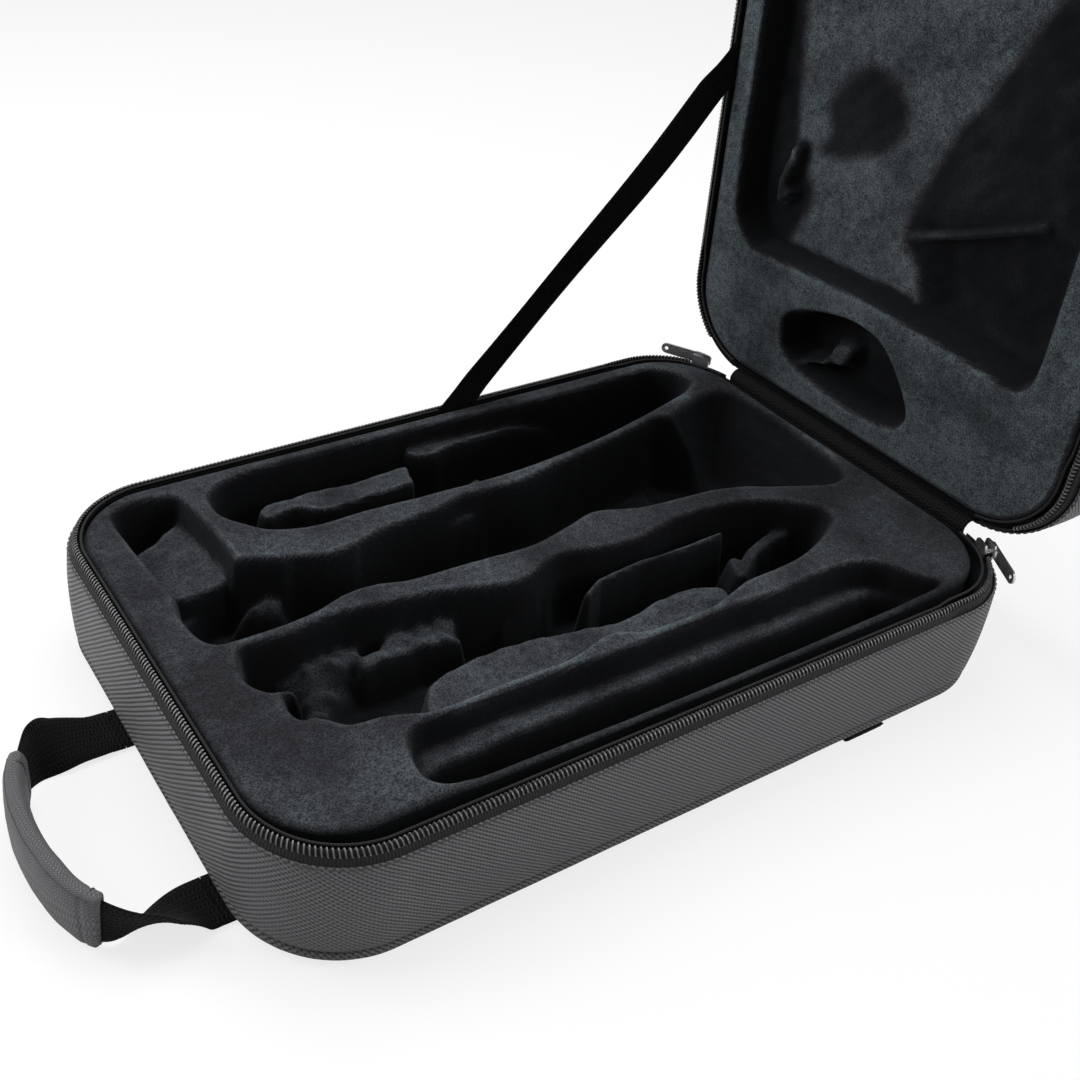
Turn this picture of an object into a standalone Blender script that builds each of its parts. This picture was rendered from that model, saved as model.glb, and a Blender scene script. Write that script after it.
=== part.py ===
"""Soft zip case for two clarinets, standing open on a table.

The base lies flat with its origin at the middle of its underside. +X points to
the short side with the fabric hinge, -X to the short side with the carry
handle, +Z up. The lid stands open on the hinge, held by one webbing stay.
All lengths are in metres.
"""

import math

import bmesh
import bpy
import numpy as np
from mathutils import Matrix, Vector

# Zip line: the middle of the coil, seen from above
RIM_LENGTH = 0.380
RIM_WIDTH = 0.244
RIM_CORNER_RADIUS = 0.0434
CORNER_STEPS = 8

# Depths of the two halves, measured from the plane where they meet
BASE_DEPTH = 0.060
LID_DEPTH = 0.052
LID_OPEN_DEGREES = 86.0
HINGE_SETBACK = 0.002

# Walls and panels
CLEARANCE = 0.0003
WELD_DISTANCE = 0.000001
COVER_THICKNESS = 0.0009
FOAM_THICKNESS = 0.0028
WALL_STANDOFF = 0.004
WALL_EDGE_DROP = 0.0095
WALL_FOOT_TUCK = 0.0012
WALL_FOOT_HEIGHT = 0.0024
BOARD_THICKNESS = 0.0026
PIPING_DIAMETER = 0.0044
PIPING_LIFT = 0.0024

# Zip
COIL_DIAMETER = 0.0022
COIL_PART = 0.0014
TAPE_THICKNESS = 0.0008
TAPE_SEAM_STANDOFF = 0.0028
TAPE_COIL_STANDOFF = 0.0003
COIL_START_DEGREES = 38.0
TAPE_START_DEGREES = 9.0

# Hinge strip
STRIP_THICKNESS = 0.0012
STRIP_FOLD_GAP = 0.0006
STRIP_OVERHANG = 0.004

# Moulded plush inserts
INSERT_TOP_DROP = 0.002
INSERT_EDGE_ROUND = 0.003
INSERT_CORNER_RADIUS = 0.039
INSERT_END_GAP = 0.0035
INSERT_BACK_GAP = 0.0042
INSERT_FRONT_GAP = 0.010
LID_INSERT_FRONT_GAP = 0.0042
RIM_ROLL = 0.0015
CAVITY_DRAFT = 0.0010
FLOOR_FILLET = 0.0018
OUTLINE_STEP = 0.009
CUT_OVERRUN = 0.001

# Floors of the base cavities, measured down from the plane where the halves meet
ACCESSORY_STEP_FLOOR = 0.026
ACCESSORY_WELL_FLOOR = 0.045
UPPER_JOINT_FLOOR = 0.042
BELL_FLOOR = 0.047
LOWER_JOINT_CRADLE_FLOOR = 0.020
LOWER_JOINT_FLOOR = 0.044
SECOND_JOINT_LEDGE_FLOOR = 0.022
SECOND_JOINT_FLOOR = 0.042
LONG_TRAY_FLOOR = 0.016
LONG_CHANNEL_FLOOR = 0.034

# Floors of the lid cavities, measured the same way into the lid
LID_POCKET_FLOOR = 0.020
LID_WELL_FLOOR = 0.026
LID_BELL_FLOOR = 0.024

# Lid stay
STAY_REACH = 0.161
STAY_TAIL = 0.034
STAY_WIDTH = 0.018
STAY_THICKNESS = 0.0014
STAY_INSET = 0.0029
STAY_PATCH_LENGTH = 0.020
STAY_PATCH_THICKNESS = 0.0014

# Carry handle
WEBBING_WIDTH = 0.025
WEBBING_THICKNESS = 0.0018
WEBBING_EDGE_ROUND = 0.0005
HANDLE_CENTRE_Y = -0.022
HANDLE_SPAN = 0.102
HANDLE_REACH = 0.0543
HANDLE_RISE = 0.0135
HANDLE_STATIONS = 44
GRIP_HEIGHT = 0.0274
GRIP_THICKNESS = 0.0095
GRIP_START_SHARE = 0.31
GRIP_END_SHARE = 0.70
GRIP_STATIONS = 14
GRIP_SECTION_POINTS = 16
GRIP_SECTION_POWER = 2.8
GRIP_END_TAPER_SHARE = 0.18
TAB_SEAM_DEPTH = 0.006

# Webbing stub under the front long side
STUB_X = 0.098
STUB_PROJECTION = 0.006

# Zip sliders
SLIDER_PARK_DEGREES = 30.0
SLIDER_LENGTH = 0.010
SLIDER_SHOULDER_HEIGHT = 0.0082
SLIDER_HEEL_HEIGHT = 0.0062
SLIDER_PLATE_THICKNESS = 0.0009
SLIDER_PLATE_STANDOFF = 0.0018
SLIDER_POST_THICKNESS = 0.0008
SLIDER_POST_LENGTH = 0.0024
BRIDGE_HEIGHT = 0.0031
BRIDGE_SINK = 0.0003
BRIDGE_BAR = 0.0011
BRIDGE_CHAMFER = 0.0007
BRIDGE_WIDTH = 0.0024
BRIDGE_LENGTH = 0.0080
PULL_LENGTH = 0.026
PULL_WIDTH = 0.0062
PULL_THICKNESS = 0.0010
PULL_PIN = 0.0012
PULL_WINDOW_LENGTH = 0.0052
PULL_WINDOW_WIDTH = 0.0034
PULL_HOLE_DIAMETER = 0.0022
PULL_SIDES = 16

# Outlines of the base cavities: shares of the insert's half length and half width
ACCESSORY_SHARES = (
    (-0.90, 0.85), (-0.86, 0.91), (-0.78, 0.92), (-0.72, 0.87), (-0.70, 0.50),
    (-0.72, 0.27), (-0.80, 0.20), (-0.87, 0.25), (-0.89, 0.50),
)
ACCESSORY_WELL_SHARES = (
    (-0.89, 0.84), (-0.86, 0.88), (-0.79, 0.89), (-0.75, 0.84), (-0.75, 0.70),
    (-0.78, 0.62), (-0.85, 0.60), (-0.885, 0.66),
)
UPPER_JOINT_SHARES = (
    (-0.885, 0.25), (-0.89, 0.08), (-0.86, -0.015), (-0.75, -0.025), (-0.63, -0.01),
    (-0.53, 0.035), (-0.45, 0.035), (-0.37, 0.0), (-0.20, -0.01), (-0.03, -0.025),
    (0.10, 0.02), (0.20, 0.055), (0.33, -0.01), (0.54, -0.04), (0.71, -0.10),
    (0.75, 0.06), (0.75, 0.41), (0.67, 0.53), (0.56, 0.50), (0.40, 0.45),
    (0.24, 0.41), (0.10, 0.37), (-0.05, 0.385), (-0.16, 0.35), (-0.30, 0.33),
    (-0.47, 0.27), (-0.59, 0.33), (-0.69, 0.39), (-0.80, 0.375),
)
BELL_SHARES = (
    (0.60, 0.45), (0.78, 0.58), (0.90, 0.62), (0.965, 0.55), (0.98, 0.32),
    (0.975, -0.02), (0.94, -0.22), (0.86, -0.24), (0.75, -0.17), (0.63, -0.06),
    (0.58, 0.15), (0.57, 0.33),
)
LOWER_JOINT_SHARES = (
    (-0.65, 0.83), (-0.59, 0.905), (-0.49, 0.935), (-0.27, 0.94), (0.11, 0.925),
    (0.43, 0.905), (0.64, 0.91), (0.81, 0.92), (0.88, 0.84), (0.88, 0.73),
    (0.80, 0.66), (0.59, 0.57), (0.40, 0.505), (0.13, 0.455), (-0.11, 0.46),
    (-0.32, 0.475), (-0.47, 0.475), (-0.57, 0.525), (-0.62, 0.61), (-0.655, 0.705),
)
LOWER_JOINT_TROUGH_SHARES = (
    (-0.12, 0.86), (0.11, 0.88), (0.43, 0.86), (0.64, 0.87), (0.79, 0.88),
    (0.85, 0.82), (0.84, 0.74), (0.76, 0.69), (0.58, 0.61), (0.40, 0.55),
    (0.13, 0.50), (-0.07, 0.51), (-0.14, 0.66),
)
LOWER_JOINT_WELL_SHARES = (
    (-0.63, 0.82), (-0.58, 0.87), (-0.52, 0.86), (-0.49, 0.76), (-0.51, 0.60),
    (-0.56, 0.58), (-0.61, 0.64), (-0.635, 0.72),
)
SECOND_JOINT_SHARES = (
    (-0.815, -0.075), (-0.842, -0.14), (-0.853, -0.24), (-0.826, -0.32), (-0.777, -0.35),
    (-0.783, -0.47), (-0.752, -0.53), (-0.72, -0.58), (-0.66, -0.59), (-0.61, -0.615),
    (-0.56, -0.645), (-0.49, -0.652), (-0.36, -0.646), (-0.24, -0.65), (-0.17, -0.64),
    (-0.10, -0.61), (-0.045, -0.605), (0.005, -0.645), (0.10, -0.657), (0.21, -0.652),
    (0.29, -0.62), (0.36, -0.59), (0.46, -0.585), (0.56, -0.565), (0.66, -0.51), (0.74, -0.44),
    (0.75, -0.355), (0.665, -0.235), (0.54, -0.165), (0.386, -0.145), (0.236, -0.19),
    (0.13, -0.175), (0.01, -0.13), (-0.134, -0.20), (-0.257, -0.15), (-0.354, -0.105),
    (-0.472, -0.086), (-0.58, -0.055), (-0.70, -0.08),
)
SECOND_JOINT_TROUGH_SHARES = (
    (-0.20, -0.26), (0.01, -0.20), (0.13, -0.22), (0.236, -0.235), (0.386, -0.20),
    (0.53, -0.22), (0.64, -0.28), (0.69, -0.37), (0.66, -0.45), (0.54, -0.49),
    (0.40, -0.48), (0.20, -0.46), (0.0, -0.43), (-0.20, -0.43), (-0.25, -0.35),
)
SECOND_JOINT_WELL_SHARES = (
    (-0.73, -0.43), (-0.72, -0.53), (-0.66, -0.565), (-0.58, -0.58), (-0.545, -0.53),
    (-0.56, -0.44), (-0.65, -0.41),
)
LONG_TRAY_SHARES = (
    (-0.66, -0.89), (-0.65, -0.78), (-0.625, -0.71), (-0.58, -0.684), (-0.49, -0.69),
    (-0.38, -0.684), (-0.28, -0.684), (-0.19, -0.695), (-0.10, -0.705), (-0.02, -0.70),
    (0.06, -0.696), (0.17, -0.696), (0.28, -0.698), (0.40, -0.71), (0.54, -0.695), (0.62, -0.70),
    (0.685, -0.73), (0.722, -0.785), (0.74, -0.85), (0.77, -0.92), (0.79, -0.955), (0.74, -0.968),
    (0.32, -0.972), (-0.16, -0.972), (-0.56, -0.968), (-0.63, -0.95),
)
LONG_CHANNEL_SHARES = (
    (-0.635, -0.90), (-0.625, -0.83), (-0.58, -0.80), (-0.32, -0.79), (0.0, -0.79),
    (0.32, -0.795), (0.58, -0.795), (0.66, -0.80), (0.705, -0.84), (0.725, -0.90),
    (0.70, -0.945), (0.64, -0.957), (0.0, -0.96), (-0.32, -0.958), (-0.56, -0.957),
    (-0.61, -0.945),
)

# Outlines in the lid: shares of the insert's length from the hinge side, and of its half width
LID_POCKET_SHARES = (
    (0.185, 0.72), (0.195, 0.0), (0.185, -0.70), (0.20, -0.76), (0.24, -0.775), (0.60, -0.775),
    (0.90, -0.775), (0.935, -0.74), (0.94, 0.0), (0.935, 0.84), (0.90, 0.88),
    (0.60, 0.88), (0.32, 0.88), (0.23, 0.86), (0.20, 0.80),
)
LID_WELL_SHARES = (
    (0.20, -0.16), (0.19, -0.42), (0.20, -0.68), (0.28, -0.74), (0.37, -0.70), (0.35, -0.40),
    (0.31, -0.06), (0.25, -0.10),
)
LID_BELL_SHARES = (
    (0.112, 0.46), (0.068, 0.45), (0.050, 0.38), (0.036, 0.15), (0.036, -0.09), (0.047, -0.23),
    (0.070, -0.27), (0.102, -0.22), (0.134, -0.13), (0.153, -0.03), (0.156, 0.13), (0.137, 0.35),
)

# Handle path: share of the reach, share of the span, share of the rise, share of a quarter twist
HANDLE_PATH_SHARES = (
    (0.00, 0.50, 0.00, 0.00), (0.17, 0.50, 0.06, 0.02), (0.43, 0.48, 0.40, 0.25),
    (0.67, 0.42, 0.80, 0.75), (0.85, 0.30, 1.00, 1.00), (0.96, 0.16, 1.00, 1.00),
    (1.00, -0.02, 1.00, 1.00), (0.98, -0.20, 1.00, 1.00), (0.91, -0.37, 1.00, 1.00),
    (0.79, -0.49, 1.00, 1.00), (0.60, -0.55, 0.86, 0.75), (0.38, -0.54, 0.50, 0.35),
    (0.17, -0.51, 0.10, 0.04), (0.00, -0.50, 0.00, 0.00),
)

# Slider plate outline: share of the length from the middle, share of half the local height
SLIDER_PLATE_SHARES = (
    (-0.50, 0.55), (-0.40, 0.92), (-0.10, 1.00), (0.20, 1.02), (0.42, 1.00), (0.50, 0.62),
)

# Colours and finishes
NYLON_GREY = (0.075, 0.072, 0.082, 1.0)
PLUSH_BLUE_GREY = (0.022, 0.028, 0.034, 1.0)
WEBBING_BLACK = (0.014, 0.014, 0.013, 1.0)
TAPE_BLACK = (0.012, 0.012, 0.014, 1.0)
COIL_BLACK = (0.030, 0.030, 0.034, 1.0)
FOAM_DARK = (0.030, 0.030, 0.032, 1.0)
BOARD_BROWN = (0.10, 0.08, 0.06, 1.0)
SLIDER_METAL = (0.10, 0.10, 0.105, 1.0)
FABRIC_ROUGHNESS = 0.85
PLUSH_ROUGHNESS = 0.95
COIL_ROUGHNESS = 0.40
METAL_ROUGHNESS = 0.35

HINGE_X = RIM_LENGTH / 2 + HINGE_SETBACK
BASE_INSERT_HALF_LENGTH = RIM_LENGTH / 2 - INSERT_END_GAP
BASE_INSERT_HALF_WIDTH = (RIM_WIDTH - INSERT_BACK_GAP - INSERT_FRONT_GAP) / 2
BASE_INSERT_CENTRE_Y = (INSERT_FRONT_GAP - INSERT_BACK_GAP) / 2
LID_INSERT_HALF_WIDTH = (RIM_WIDTH - INSERT_BACK_GAP - LID_INSERT_FRONT_GAP) / 2
LID_INSERT_CENTRE_Y = (LID_INSERT_FRONT_GAP - INSERT_BACK_GAP) / 2


def clear_scene():
    """Remove what the file already holds."""
    for item in list(bpy.data.objects):
        bpy.data.objects.remove(item, do_unlink=True)


def make_material(name, colour, roughness, metallic=0.0):
    """One plain Principled material."""
    material = bpy.data.materials.new(name)
    material.use_nodes = True
    shader = material.node_tree.nodes["Principled BSDF"]
    shader.inputs["Base Color"].default_value = colour
    shader.inputs["Roughness"].default_value = roughness
    shader.inputs["Metallic"].default_value = metallic
    return material


class Workshop:
    """Holds the collections and hands out named objects."""

    def __init__(self):
        scene = bpy.context.scene.collection
        self.parts = bpy.data.collections.new("clarinet_case")
        self.tools = bpy.data.collections.new("cutters")
        scene.children.link(self.parts)
        scene.children.link(self.tools)

    def part(self, name, data, material=None):
        """Link a part of the case, smooth shaded, with its material."""
        item = bpy.data.objects.new(name, data)
        self.parts.objects.link(item)
        if material is not None:
            data.materials.append(material)
        if isinstance(data, bpy.types.Mesh):
            data.shade_smooth()
            data.set_sharp_from_angle(angle=math.radians(35.0))
        return item

    def tool(self, name, data):
        """Link a cutter or a joining shape, kept out of the render."""
        item = bpy.data.objects.new(name, data)
        self.tools.objects.link(item)
        item.hide_render = True
        item.display_type = "WIRE"
        return item

    def axis(self, name, place, turn_y=0.0, parent=None):
        """An empty that stands on a joint's axis."""
        empty = bpy.data.objects.new(name, None)
        self.parts.objects.link(empty)
        empty.location = place
        empty.rotation_euler = (0.0, turn_y, 0.0)
        empty.parent = parent
        return empty


def rounded_rectangle(half_length, half_width, radius, centre_y=0.0):
    """Corner arcs of a rectangle seen from above, anticlockwise, as an array of points."""
    quarter = math.pi / 2
    turns = np.linspace(0.0, quarter, CORNER_STEPS + 1)
    points = []
    for corner, (side_x, side_y) in enumerate(((1, 1), (-1, 1), (-1, -1), (1, -1))):
        angles = turns + corner * quarter
        xs = side_x * (half_length - radius) + radius * np.cos(angles)
        ys = centre_y + side_y * (half_width - radius) + radius * np.sin(angles)
        points.append(np.stack([xs, ys], axis=1))
    return np.vstack(points)


def rim_outline(standoff):
    """The zip line moved outward by the standoff, as a closed loop."""
    return rounded_rectangle(RIM_LENGTH / 2 + standoff, RIM_WIDTH / 2 + standoff,
                             RIM_CORNER_RADIUS + standoff)


def rim_run(standoff, start_degrees):
    """The zip line from one hinge corner round the handle side to the other, as an open run."""
    radius = RIM_CORNER_RADIUS + standoff
    inner_x = RIM_LENGTH / 2 - RIM_CORNER_RADIUS
    inner_y = RIM_WIDTH / 2 - RIM_CORNER_RADIUS
    quarter = math.pi / 2
    start = math.radians(start_degrees)
    points = []
    for corner, (side_x, side_y) in enumerate(((1, 1), (-1, 1), (-1, -1), (1, -1))):
        low = start if corner == 0 else corner * quarter
        high = 4 * quarter - start if corner == 3 else (corner + 1) * quarter
        angles = np.linspace(low, high, CORNER_STEPS + 1)
        xs = side_x * inner_x + radius * np.cos(angles)
        ys = side_y * inner_y + radius * np.sin(angles)
        points.append(np.stack([xs, ys], axis=1))
    return np.vstack(points)


def loft(sections, closed_loop, cap_ends):
    """A surface through equal-length sections of 3-D points, with optional flat end caps."""
    count = len(sections[0])
    verts = np.vstack(sections)
    around = count if closed_loop else count - 1
    faces = []
    for level in range(len(sections) - 1):
        low = level * count
        high = low + count
        for step in range(around):
            after = (step + 1) % count
            faces.append((low + step, low + after, high + after, high + step))
    if cap_ends:
        faces.append(tuple(range(count))[::-1])
        top = (len(sections) - 1) * count
        faces.append(tuple(range(top, top + count)))
    return verts, faces


def mesh_from(name, verts, faces):
    """A mesh whose faces all point outward."""
    mesh = bpy.data.meshes.new(name)
    mesh.from_pydata([tuple(v) for v in verts], [], faces)
    shape = bmesh.new()
    shape.from_mesh(mesh)
    bmesh.ops.recalc_face_normals(shape, faces=shape.faces)
    shape.to_mesh(mesh)
    shape.free()
    return mesh


def raised(outline, height, shift_x=0.0):
    """A plan outline lifted to a height."""
    return np.column_stack([outline[:, 0] - shift_x, outline[:, 1], np.full(len(outline), height)])


def wall_band(shop, name, sections, thickness, material, run=None, shift_x=0.0):
    """A fabric or foam band that follows the zip line: an open surface, thickened inward.

    Each section is (standoff from the zip line, height), from the lower edge up.
    """
    levels = []
    for standoff, height in sections:
        outline = rim_outline(standoff) if run is None else rim_run(standoff, run)
        levels.append(raised(outline, height, shift_x))
    verts, faces = loft(levels, run is None, False)
    mesh = bpy.data.meshes.new(name)
    mesh.from_pydata([tuple(v) for v in verts], [], faces)
    item = shop.part(name, mesh, material)
    wall = item.modifiers.new("thickness", "SOLIDIFY")
    wall.thickness = thickness
    wall.offset = -1.0
    wall.use_even_offset = True
    return item


def flat_panel(shop, name, outline, low, thickness, material, shift_x=0.0):
    """A flat sheet with the given outline, as a filled 2-D curve."""
    curve = bpy.data.curves.new(name, "CURVE")
    curve.dimensions = "2D"
    curve.fill_mode = "BOTH"
    curve.extrude = thickness / 2
    spline = curve.splines.new("POLY")
    spline.points.add(len(outline) - 1)
    for point, (x, y) in zip(spline.points, outline):
        point.co = (x - shift_x, y, 0.0, 1.0)
    spline.use_cyclic_u = True
    return settled(shop, name, curve, material, Matrix.Translation((0.0, 0.0, low + thickness / 2)))


def settled(shop, name, curve, material, placement, tool=False):
    """Turn a curve into a welded mesh object, placed in its mesh."""
    source = bpy.data.objects.new(name + "_curve", curve)
    bpy.context.scene.collection.objects.link(source)
    bpy.context.view_layer.update()
    graph = bpy.context.evaluated_depsgraph_get()
    mesh = bpy.data.meshes.new_from_object(source.evaluated_get(graph))
    bpy.data.objects.remove(source, do_unlink=True)
    mesh.name = name
    mesh.materials.clear()
    shape = bmesh.new()
    shape.from_mesh(mesh)
    bmesh.ops.remove_doubles(shape, verts=shape.verts, dist=WELD_DISTANCE)
    bmesh.ops.recalc_face_normals(shape, faces=shape.faces)
    shape.to_mesh(mesh)
    shape.free()
    mesh.transform(placement)
    return shop.tool(name, mesh) if tool else shop.part(name, mesh, material)


def round_cord(shop, name, points, diameter, closed, sides_level, material):
    """A tube along the points: piping or a plain zip coil."""
    curve = bpy.data.curves.new(name, "CURVE")
    curve.dimensions = "3D"
    curve.bevel_depth = diameter / 2
    curve.bevel_resolution = sides_level
    curve.use_fill_caps = True
    spline = curve.splines.new("POLY")
    spline.points.add(len(points) - 1)
    for point, (x, y, z) in zip(spline.points, points):
        point.co = (x, y, z, 1.0)
    spline.use_cyclic_u = closed
    return settled(shop, name, curve, material, Matrix.Identity(4))


def smooth_loop(points):
    """A closed smooth curve through the points, sampled about every outline step.

    Each point's slope is as long as its shorter neighbouring side, so long sides stay straight.
    """
    points = np.asarray(points, dtype=float)
    ahead = np.roll(points, -1, axis=0)
    behind = np.roll(points, 1, axis=0)
    to_next = np.linalg.norm(ahead - points, axis=1)
    to_last = np.linalg.norm(points - behind, axis=1)
    slopes = (ahead - behind) * (np.minimum(to_next, to_last) / (to_next + to_last))[:, None]
    samples = []
    for index, length in enumerate(to_next):
        steps = max(1, round(float(length) / OUTLINE_STEP))
        after = (index + 1) % len(points)
        for step in range(steps):
            samples.append(bridged(points[index], points[after], slopes[index], slopes[after], step / steps))
    return np.array(samples)


def bridged(start, end, start_slope, end_slope, share):
    """A point on the cubic curve that leaves start and reaches end with the given slopes."""
    square = share * share
    cube = square * share
    return ((2 * cube - 3 * square + 1) * start + (cube - 2 * square + share) * start_slope
            + (3 * square - 2 * cube) * end + (cube - square) * end_slope)


def grown(outline, amount):
    """A closed anticlockwise or clockwise outline moved outward along its normals."""
    ahead = np.roll(outline, -1, axis=0)
    behind = np.roll(outline, 1, axis=0)
    tangent = ahead - behind
    tangent /= np.linalg.norm(tangent, axis=1)[:, None]
    normal = np.column_stack([tangent[:, 1], -tangent[:, 0]])
    area = np.sum(outline[:, 0] * ahead[:, 1] - ahead[:, 0] * outline[:, 1])
    return outline + amount * math.copysign(1.0, area) * normal


def cavity_cutter(shop, name, outline, mouth, floor):
    """The space that an instrument part sits in: rolled rim, drafted sides and a filleted floor.

    mouth is the height of the insert's face and floor that of the cavity's floor, on either side of it.
    """
    way = 1.0 if mouth > floor else -1.0
    rings = (
        (RIM_ROLL + CUT_OVERRUN, mouth + way * CUT_OVERRUN),
        (0.0, mouth - way * RIM_ROLL),
        (-CAVITY_DRAFT, floor + way * FLOOR_FILLET),
        (-CAVITY_DRAFT - FLOOR_FILLET, floor),
    )
    sections = [raised(grown(outline, step), height) for step, height in rings]
    verts, faces = loft(sections, True, True)
    return shop.tool(name, mesh_from(name, verts, faces))


def moulded_block(shop, name, outline, low, high, material):
    """The plush-covered foam block before its cavities: a sheet with rounded edges."""
    curve = bpy.data.curves.new(name, "CURVE")
    curve.dimensions = "2D"
    curve.fill_mode = "BOTH"
    curve.bevel_depth = INSERT_EDGE_ROUND
    curve.bevel_resolution = 1
    curve.offset = -INSERT_EDGE_ROUND
    curve.extrude = (high - low) / 2 - INSERT_EDGE_ROUND
    spline = curve.splines.new("POLY")
    spline.points.add(len(outline) - 1)
    for point, (x, y) in zip(spline.points, outline):
        point.co = (x, y, 0.0, 1.0)
    spline.use_cyclic_u = True
    return settled(shop, name, curve, material, Matrix.Translation((0.0, 0.0, (high + low) / 2)))


def cut(item, cutter, operation="DIFFERENCE"):
    """Cut the item with a cutter, or join them."""
    change = item.modifiers.new(cutter.name, "BOOLEAN")
    change.operation = operation
    change.object = cutter
    change.solver = "EXACT"


def base_outline(shares):
    """Cavity outline in the base, from its shares of the insert's half length and half width."""
    points = [(x * BASE_INSERT_HALF_LENGTH, BASE_INSERT_CENTRE_Y + y * BASE_INSERT_HALF_WIDTH)
              for x, y in shares]
    return smooth_loop(points)


def lid_outline(shares):
    """Cavity outline in the lid, from its shares of the insert's length and half width."""
    length = 2 * BASE_INSERT_HALF_LENGTH
    points = [(BASE_INSERT_HALF_LENGTH - x * length, LID_INSERT_CENTRE_Y + y * LID_INSERT_HALF_WIDTH)
              for x, y in shares]
    return smooth_loop(points)


def build_half(shop, half, kit, sign, plane, depth, shift_x):
    """Wall, panels, piping and zip of one half.

    sign is -1 for the base, whose wall goes down from the plane, and +1 for the lid.
    """
    edge = plane + sign * WALL_EDGE_DROP
    outside = plane + sign * depth
    foot = outside - sign * (PIPING_LIFT + PIPING_DIAMETER + CLEARANCE)
    knee = foot - sign * WALL_FOOT_HEIGHT
    cover_sections = [(WALL_STANDOFF - WALL_FOOT_TUCK, foot), (WALL_STANDOFF, knee), (WALL_STANDOFF, edge)]
    inside = COVER_THICKNESS + CLEARANCE
    foam_sections = [(WALL_STANDOFF - inside - WALL_FOOT_TUCK, foot), (WALL_STANDOFF - inside, knee),
                     (WALL_STANDOFF - inside, edge)]
    tape_low = edge - sign * CLEARANCE
    coil_middle = plane + sign * (COIL_PART + COIL_DIAMETER) / 2
    tape_high = coil_middle + sign * (COIL_DIAMETER / 2 + CLEARANCE)
    tape_sections = [(TAPE_SEAM_STANDOFF, tape_low), (TAPE_COIL_STANDOFF + TAPE_THICKNESS / 2, tape_high)]
    if sign > 0:
        cover_sections.reverse()
        foam_sections.reverse()
        tape_sections.reverse()
    parts = [
        wall_band(shop, half + "_wall_cover", cover_sections, COVER_THICKNESS, kit["nylon"], None, shift_x),
        wall_band(shop, half + "_wall_foam", foam_sections, FOAM_THICKNESS, kit["foam"], None, shift_x),
        wall_band(shop, half + "_zip_tape", tape_sections, TAPE_THICKNESS, kit["tape"],
                  TAPE_START_DEGREES, shift_x),
    ]
    coil_path = raised(rim_run(0.0, COIL_START_DEGREES), coil_middle, shift_x)
    parts.append(round_cord(shop, half + "_zip_coil", coil_path, COIL_DIAMETER, False, 1, kit["coil"]))
    piping_middle = outside - sign * (PIPING_LIFT + PIPING_DIAMETER / 2)
    piping_path = raised(rim_outline(WALL_STANDOFF - PIPING_DIAMETER / 2), piping_middle, shift_x)
    parts.append(round_cord(shop, half + "_piping", piping_path, PIPING_DIAMETER, True, 2, kit["nylon"]))
    panel_outline = rim_outline(WALL_STANDOFF - PIPING_DIAMETER - CLEARANCE)
    cover_low = min(outside, outside - sign * COVER_THICKNESS)
    board_near = outside - sign * (COVER_THICKNESS + CLEARANCE)
    board_low = min(board_near, board_near - sign * BOARD_THICKNESS)
    panel = "_bottom" if sign < 0 else "_top"
    parts.append(flat_panel(shop, half + panel + "_cover", panel_outline, cover_low, COVER_THICKNESS,
                            kit["nylon"], shift_x))
    parts.append(flat_panel(shop, half + panel + "_board", panel_outline, board_low, BOARD_THICKNESS,
                            kit["board"], shift_x))
    return parts


def build_base_insert(shop, kit):
    """The plush tray with its nests for the joints, bells and accessories."""
    plane = BASE_DEPTH
    low = COVER_THICKNESS + BOARD_THICKNESS + CLEARANCE * 2
    high = plane - INSERT_TOP_DROP
    outline = rounded_rectangle(BASE_INSERT_HALF_LENGTH, BASE_INSERT_HALF_WIDTH,
                                INSERT_CORNER_RADIUS, BASE_INSERT_CENTRE_Y)
    tray = moulded_block(shop, "base_insert", outline, low, high, kit["plush"])
    nests = (
        ("accessory_step", ACCESSORY_SHARES, ACCESSORY_STEP_FLOOR),
        ("accessory_well", ACCESSORY_WELL_SHARES, ACCESSORY_WELL_FLOOR),
        ("upper_joint_nest", UPPER_JOINT_SHARES, UPPER_JOINT_FLOOR),
        ("bell_nest", BELL_SHARES, BELL_FLOOR),
        ("lower_joint_cradle", LOWER_JOINT_SHARES, LOWER_JOINT_CRADLE_FLOOR),
        ("lower_joint_trough", LOWER_JOINT_TROUGH_SHARES, LOWER_JOINT_FLOOR),
        ("lower_joint_well", LOWER_JOINT_WELL_SHARES, LOWER_JOINT_FLOOR),
        ("second_joint_ledge", SECOND_JOINT_SHARES, SECOND_JOINT_LEDGE_FLOOR),
        ("second_joint_trough", SECOND_JOINT_TROUGH_SHARES, SECOND_JOINT_FLOOR),
        ("second_joint_well", SECOND_JOINT_WELL_SHARES, SECOND_JOINT_FLOOR),
        ("long_tray", LONG_TRAY_SHARES, LONG_TRAY_FLOOR),
        ("long_channel", LONG_CHANNEL_SHARES, LONG_CHANNEL_FLOOR),
    )
    for name, shares, depth in nests:
        cut(tray, cavity_cutter(shop, name, base_outline(shares), high, plane - depth))
    return tray


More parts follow.
